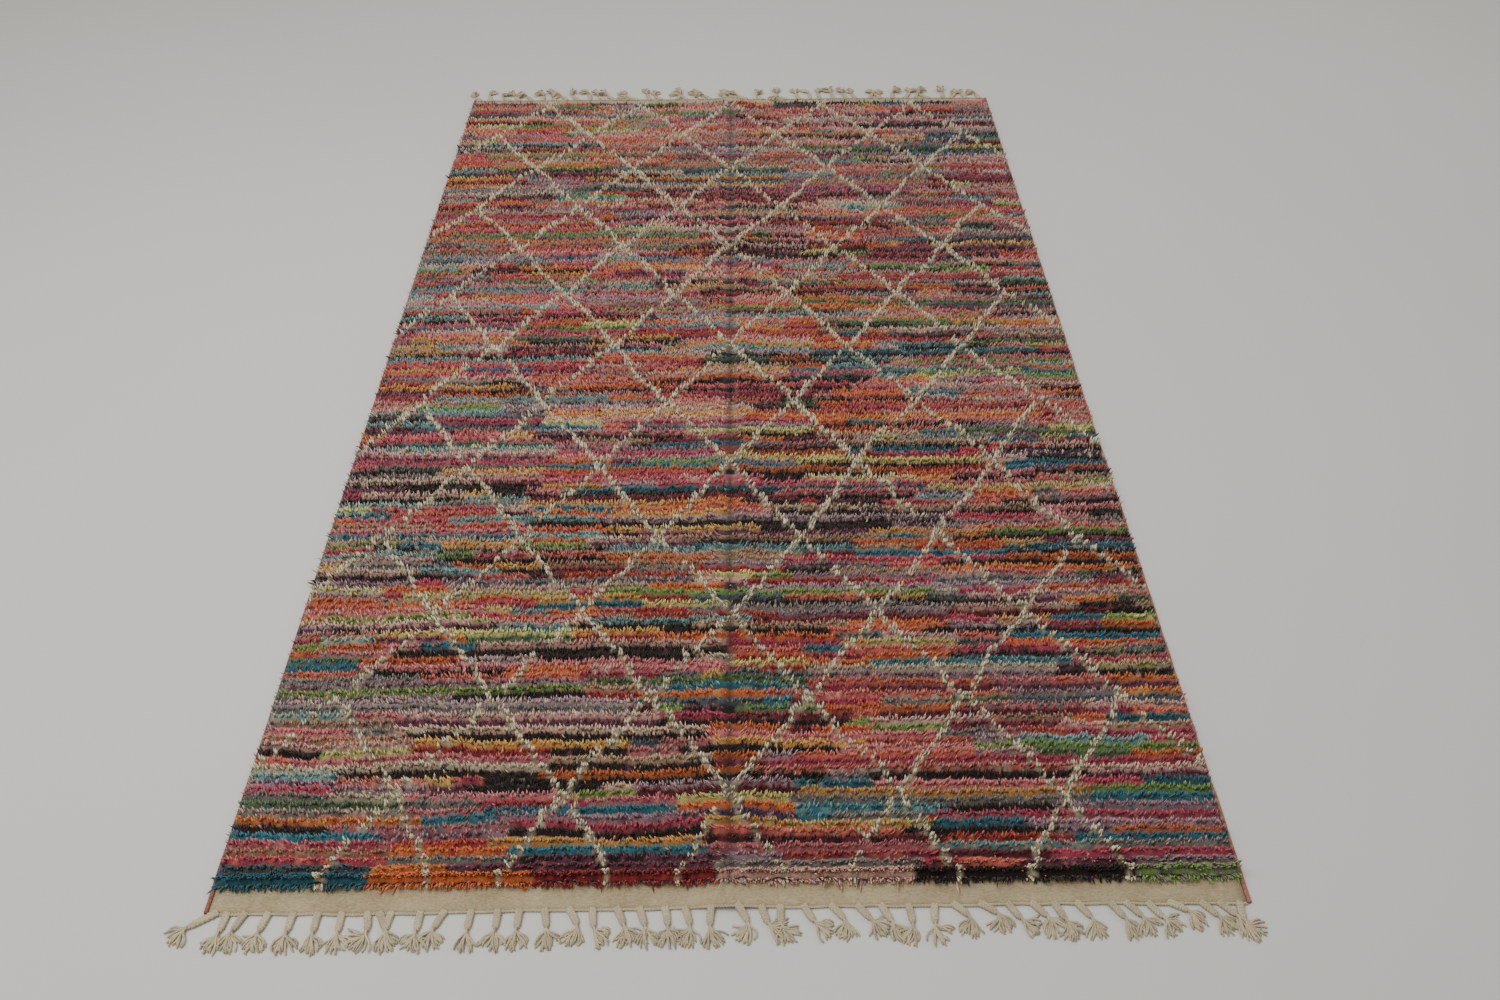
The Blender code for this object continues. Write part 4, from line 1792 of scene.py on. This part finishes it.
@dataclass
class Fringe:
    """The braided tassels of one end, with their brushes of loose cords.

    Attributes:
        end: The short end.
        tassels: How each tassel lies.
        strand: Half width of one strand of the braid.
        swing: How far the strands cross from side to side.
        crossings: Full crossings of the braid in a stem.
        rise: How far they cross over and under each other.
        relief: Factor on their brightness halfway up, and how much it varies with height, as painted shade
            where a strand dips under and painted highlight where it lies on top.
        strand_flatness: Height of a strand against its width.
        stem_stations: Stations along a stem.
        stem_height: Height of its centre line over the floor.
        bend: Share of the way to the brush's heading that a stem turns, and how late.
        root_depth: How far its root lies inside the weave's edge.
        inset: How far the outermost roots stay inside the weave's side.
        cords: Loose cords in a brush.
        cord_stations: Stations along a loose cord.
        cord_length: Shortest and longest cord of a brush.
        cord_radius: Half width of a loose cord.
        cord_flatness: Its height against its width.
        shortening: Factor on the length of a brush's middle cord, and how much shorter its outer ones are.
        uneven: Unevenness of the cords' widths and of their tones.
        overlap: How far back in the stem's last step a brush starts.
        splay: Half the angle of a brush, in degrees.
        splays: Least and greatest factor on that angle.
        opening: How far a brush is open at its neck, how fast it opens, and how evenly.
        heap: How high the cords of a brush lie over one another.
        heaps: Least and greatest share of that height.
        start: Height of the lowest cord at the neck, and how much higher the uppermost is.
        fan_noise: How unevenly the cords fan out.
        curl: Degrees that a cord's end curls by chance, turns back inwards, and sways.
        tones: Least and greatest factor on a tassel's brightness.
        seed: Seed of the fringe.
        colour: Colour of the yarn, from 0 to 255.
    """

    end: End
    tassels: list[Tassel]
    strand: float = 0.0031
    swing: float = 0.0036
    crossings: float = 2.2
    rise: float = 0.0011
    relief: tuple[float, float] = (0.92, 0.09)
    strand_flatness: float = 0.80
    stem_stations: int = 15
    stem_height: float = 0.0040
    bend: tuple[float, float] = (0.30, 1.5)
    root_depth: float = 0.0025
    inset: float = 0.008
    cords: int = 17
    cord_stations: int = 6
    cord_length: tuple[float, float] = (0.027, 0.036)
    cord_radius: float = 0.00145
    cord_flatness: float = 0.9
    shortening: tuple[float, float] = (1.02, 0.06)
    uneven: tuple[float, float] = (0.10, 0.07)
    overlap: float = 0.6
    splay: float = 68.0
    splays: tuple[float, float] = (0.8, 1.2)
    opening: tuple[float, float, float] = (0.08, 2.4, 0.7)
    heap: float = 0.0022
    heaps: tuple[float, float] = (0.2, 1.0)
    start: tuple[float, float] = (0.0012, 0.0042)
    fan_noise: float = 0.12
    curl: tuple[float, float, float] = (28.0, 62.0, 16.0)
    tones: tuple[float, float] = (0.92, 1.05)
    seed: int = 21
    colour: tuple[float, float, float] = (210, 195, 160)

    def stem_line(self, tassel: Tassel) -> tuple[np.ndarray, float]:
        """Lay out a stem's centre line on the floor.

        Args:
            tassel: How the tassel lies.

        Returns:
            Points along the stem and the heading at the neck, in degrees.
        """
        share = np.linspace(0, 1, self.stem_stations)
        part, late = self.bend
        heading = np.radians(tassel.lean + (tassel.turn - tassel.lean) * part * share**late)
        step = tassel.stem / (self.stem_stations - 1)
        x = (tassel.place * 2 - 1) * (HALF_WEAVE - self.inset)
        run_x = np.concatenate([[0], np.cumsum(np.sin(heading[:-1]) * step)])
        run_y = np.concatenate([[0], np.cumsum(np.cos(heading[:-1]) * step)]) * self.end.value
        root_y = float(end_line(self.end, np.array([x]))[0]) - self.end.value * self.root_depth
        lift = float(fold_lift(np.array([x]))[0])
        z = self.stem_height + lift * FOLD_FOLLOW * (1 - share) ** 2
        line = np.stack([x + run_x, root_y + run_y, z], axis=1)
        return line, float(np.degrees(heading[-1]))

    def braid(self, line: np.ndarray, phase: float, tone: float) -> StrandBatch:
        """Plait three strands along a stem.

        Args:
            line: The stem's centre line.
            phase: Where the braid starts in its cycle.
            tone: Factor on the yarn's colour.

        Returns:
            The three strands.
        """
        stations = len(line)
        share = np.linspace(0, 1, stations)
        along = np.gradient(line, axis=0)
        along /= np.linalg.norm(along, axis=1, keepdims=True)
        across = np.cross(along, UP)
        narrow = np.interp(share, *BRAID_TAPER)
        middle, varied = self.relief
        lines, tones = [], []
        for strand in range(3):
            turn = math.tau * (self.crossings * share + strand / 3) + phase
            rise = np.sin(2 * turn)
            shift = across * (np.sin(turn) * self.swing * narrow)[:, None]
            lines.append(line + shift + np.outer(rise * self.rise, UP))
            # Painted shade where a strand dips under the others, painted highlight where it lies on top.
            tones.append(middle + varied * rise)
        lines = np.array(lines)
        width = np.broadcast_to(self.strand * narrow, (3, stations))
        facing = np.broadcast_to(UP, (3, 3))
        shade = linear(self.colour) * tone * np.array(tones)[:, :, None]
        kind = Strand(5, stations, False)
        return StrandBatch(kind, lines, width, width * self.strand_flatness, facing, shade)

    def brush(self, neck: np.ndarray, heading: float, turn: float, dice: np.random.Generator,
              tone: float) -> StrandBatch:
        """Spread the loose cords of a tassel from its neck.

        Args:
            neck: Where the cords leave the stem.
            heading: Heading of the stem at the neck, in degrees.
            turn: Heading that the brush ends in, in degrees.
            dice: Source of chance.
            tone: Factor on the yarn's colour.

        Returns:
            The loose cords.
        """
        stations, count = self.cord_stations, self.cords
        by_chance, inwards, sway = self.curl
        at_neck, fast, evenly = self.opening
        longest, shorter = self.shortening
        lowest, higher = self.start
        share = np.linspace(0, 1, stations)
        fan = np.linspace(-1, 1, count) + dice.normal(0, self.fan_noise, count)
        spread = turn - heading + fan * self.splay * dice.uniform(*self.splays)
        angle = heading + np.outer(spread, np.minimum(1, at_neck + share * fast) ** evenly)
        angle += np.outer(dice.normal(0, by_chance, count) - fan * inwards, share**1.6)
        angle += np.outer(dice.normal(0, sway, count), np.sin(share * 5.0))
        length = dice.uniform(*self.cord_length, count) * (longest - shorter * np.abs(fan))
        step = (length / (stations - 1))[:, None]
        heading_here = np.radians(angle)[:, :-1]
        start = np.zeros((count, 1))
        run_x = np.concatenate([start, np.cumsum(np.sin(heading_here) * step, axis=1)], axis=1)
        run_y = np.concatenate([start, np.cumsum(np.cos(heading_here) * step, axis=1)], axis=1)
        layer = dice.permutation(count) / count
        pile_up = dice.uniform(*self.heaps) * self.heap
        z = self.cord_radius + np.outer(lowest + higher * layer, (1 - share) ** 0.8)
        z += np.outer((layer + 0.3) * pile_up, np.sin(share * math.pi * 0.8))
        lines = np.stack([neck[0] + run_x, neck[1] + self.end.value * run_y, z], axis=2)
        taper = np.interp(share, *CORD_TAPER)
        widths = np.outer(np.exp(dice.normal(0, self.uneven[0], count)) * self.cord_radius, taper)
        facing = np.broadcast_to(UP, (count, 3))
        tones = np.exp(dice.normal(0, self.uneven[1], count)) * tone
        shade = linear(self.colour) * tones[:, None, None] * np.ones((1, stations, 1))
        kind = Strand(4, stations, False)
        return StrandBatch(kind, lines, widths, widths * self.cord_flatness, facing, shade)

    def build(self) -> bpy.types.Object:
        """Build all tassels of this end as one piece."""
        dice = np.random.default_rng(self.seed)
        batches = []
        for tassel in self.tassels:
            tone = dice.uniform(*self.tones)
            line, heading = self.stem_line(tassel)
            batches.append(self.braid(line, dice.uniform(0, math.tau), tone))
            neck = line[-1] - (line[-1] - line[-2]) * self.overlap
            batches.append(self.brush(neck, heading, tassel.turn, dice, tone))
        name = f"tassels_{self.end.name.lower()}"
        piece = join_strands(name, batches)
        piece.data.materials.append(CordFinish(f"tassel yarn {self.end.name.lower()}").material())
        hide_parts(f"fringe_{self.end.name.lower()}")
        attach(piece, BODY)
        return piece


# The studio

@dataclass
class Studio:
    """A pale floor, soft light and a camera at the photograph's place.

    Attributes:
        camera_place: Where the camera stands.
        pitch: How far it looks below level, in degrees.
        yaw: How far it looks to the right, in degrees.
        focal_px: Focal length in the photograph's pixels.
        sensor: Width of the camera's sensor in millimetres.
        view_depth: Distance that the camera sees.
        floor_size: Half width of the floor.
        sky: Strength of the soft light all round.
        sky_colour: Its colour.
        key_power: Power of the main light.
        fill_power: Power of the light from behind and the right.
    """

    camera_place: tuple[float, float, float] = (0.0218, -1.8791, 1.570)
    pitch: float = 46.84
    yaw: float = 0.67
    focal_px: float = 1100.0
    sensor: float = 36.0
    view_depth: float = 60.0
    floor_size: float = 25.0
    sky: float = 0.42
    sky_colour: tuple[float, float, float, float] = (1.0, 0.985, 0.96, 1.0)
    key_power: float = 95.0
    fill_power: float = 22.0

    def area(self, name: str, place: tuple[float, float, float], size: float, power: float) -> None:
        """Hang a square soft light that looks at the rug's middle."""
        light = bpy.data.lights.new(name, "AREA")
        light.shape = "SQUARE"
        light.size = size
        light.energy = power
        lamp = bpy.data.objects.new(name, light)
        lamp.location = place
        lamp.rotation_mode = "QUATERNION"
        lamp.rotation_quaternion = (-Vector(place)).to_track_quat("-Z", "Y")
        bpy.context.scene.collection.objects.link(lamp)

    def build(self) -> None:
        """Build the floor, the lights and the camera."""
        bm = bmesh.new()
        bmesh.ops.create_grid(bm, x_segments=8, y_segments=8, size=self.floor_size)
        floor = finish_mesh("studio_floor", bm)
        floor.data.materials.append(FloorFinish().material())

        world = bpy.data.worlds.new("soft studio")
        world.use_nodes = True
        background = world.node_tree.nodes["Background"]
        background.inputs["Color"].default_value = self.sky_colour
        background.inputs["Strength"].default_value = self.sky
        bpy.context.scene.world = world
        self.area("key light", (-1.4, -0.6, 3.4), 2.2, self.key_power)
        self.area("fill light", (2.2, 1.6, 2.8), 2.6, self.fill_power)

        camera = bpy.data.cameras.new("photo camera")
        camera.sensor_width = self.sensor
        camera.lens = self.focal_px * self.sensor / PHOTO_WIDTH
        camera.clip_end = self.view_depth
        stand = bpy.data.objects.new("photo camera", camera)
        stand.location = self.camera_place
        pitch, yaw = math.radians(self.pitch), math.radians(self.yaw)
        ahead = Vector((math.sin(yaw) * math.cos(pitch), math.cos(yaw) * math.cos(pitch), -math.sin(pitch)))
        stand.rotation_mode = "QUATERNION"
        stand.rotation_quaternion = ahead.to_track_quat("-Z", "Y")
        bpy.context.scene.collection.objects.link(stand)
        bpy.context.scene.camera = stand


def report(piece: bpy.types.Object) -> None:
    """Log a piece's name and triangles."""
    triangles = sum(len(face.vertices) - 2 for face in piece.data.polygons)
    LOG.info("%s: %d triangles", piece.name, triangles)


def main() -> None:
    """Build the rug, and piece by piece."""
    logging.basicConfig(level=logging.INFO, format="%(message)s")
    Studio().build()
    ground = Ground().build()
    report(ground)
    for piece in Pile().build():
        report(piece)
    edges = [TwinedEdge(end).build() for end in End]
    fringes = [
        Fringe(End.NEAR, near_tassels()).build(),
        Fringe(
            End.FAR, far_tassels(), cord_length=(0.028, 0.037), cord_radius=0.0017, splay=50.0,
            heap=0.012, seed=FAR_SEED,
        ).build(),
    ]
    cords = [SideCord(side).build() for side in Side]
    for piece in [*edges, *fringes, *cords]:
        report(piece)


if __name__ == "__main__":
    main()
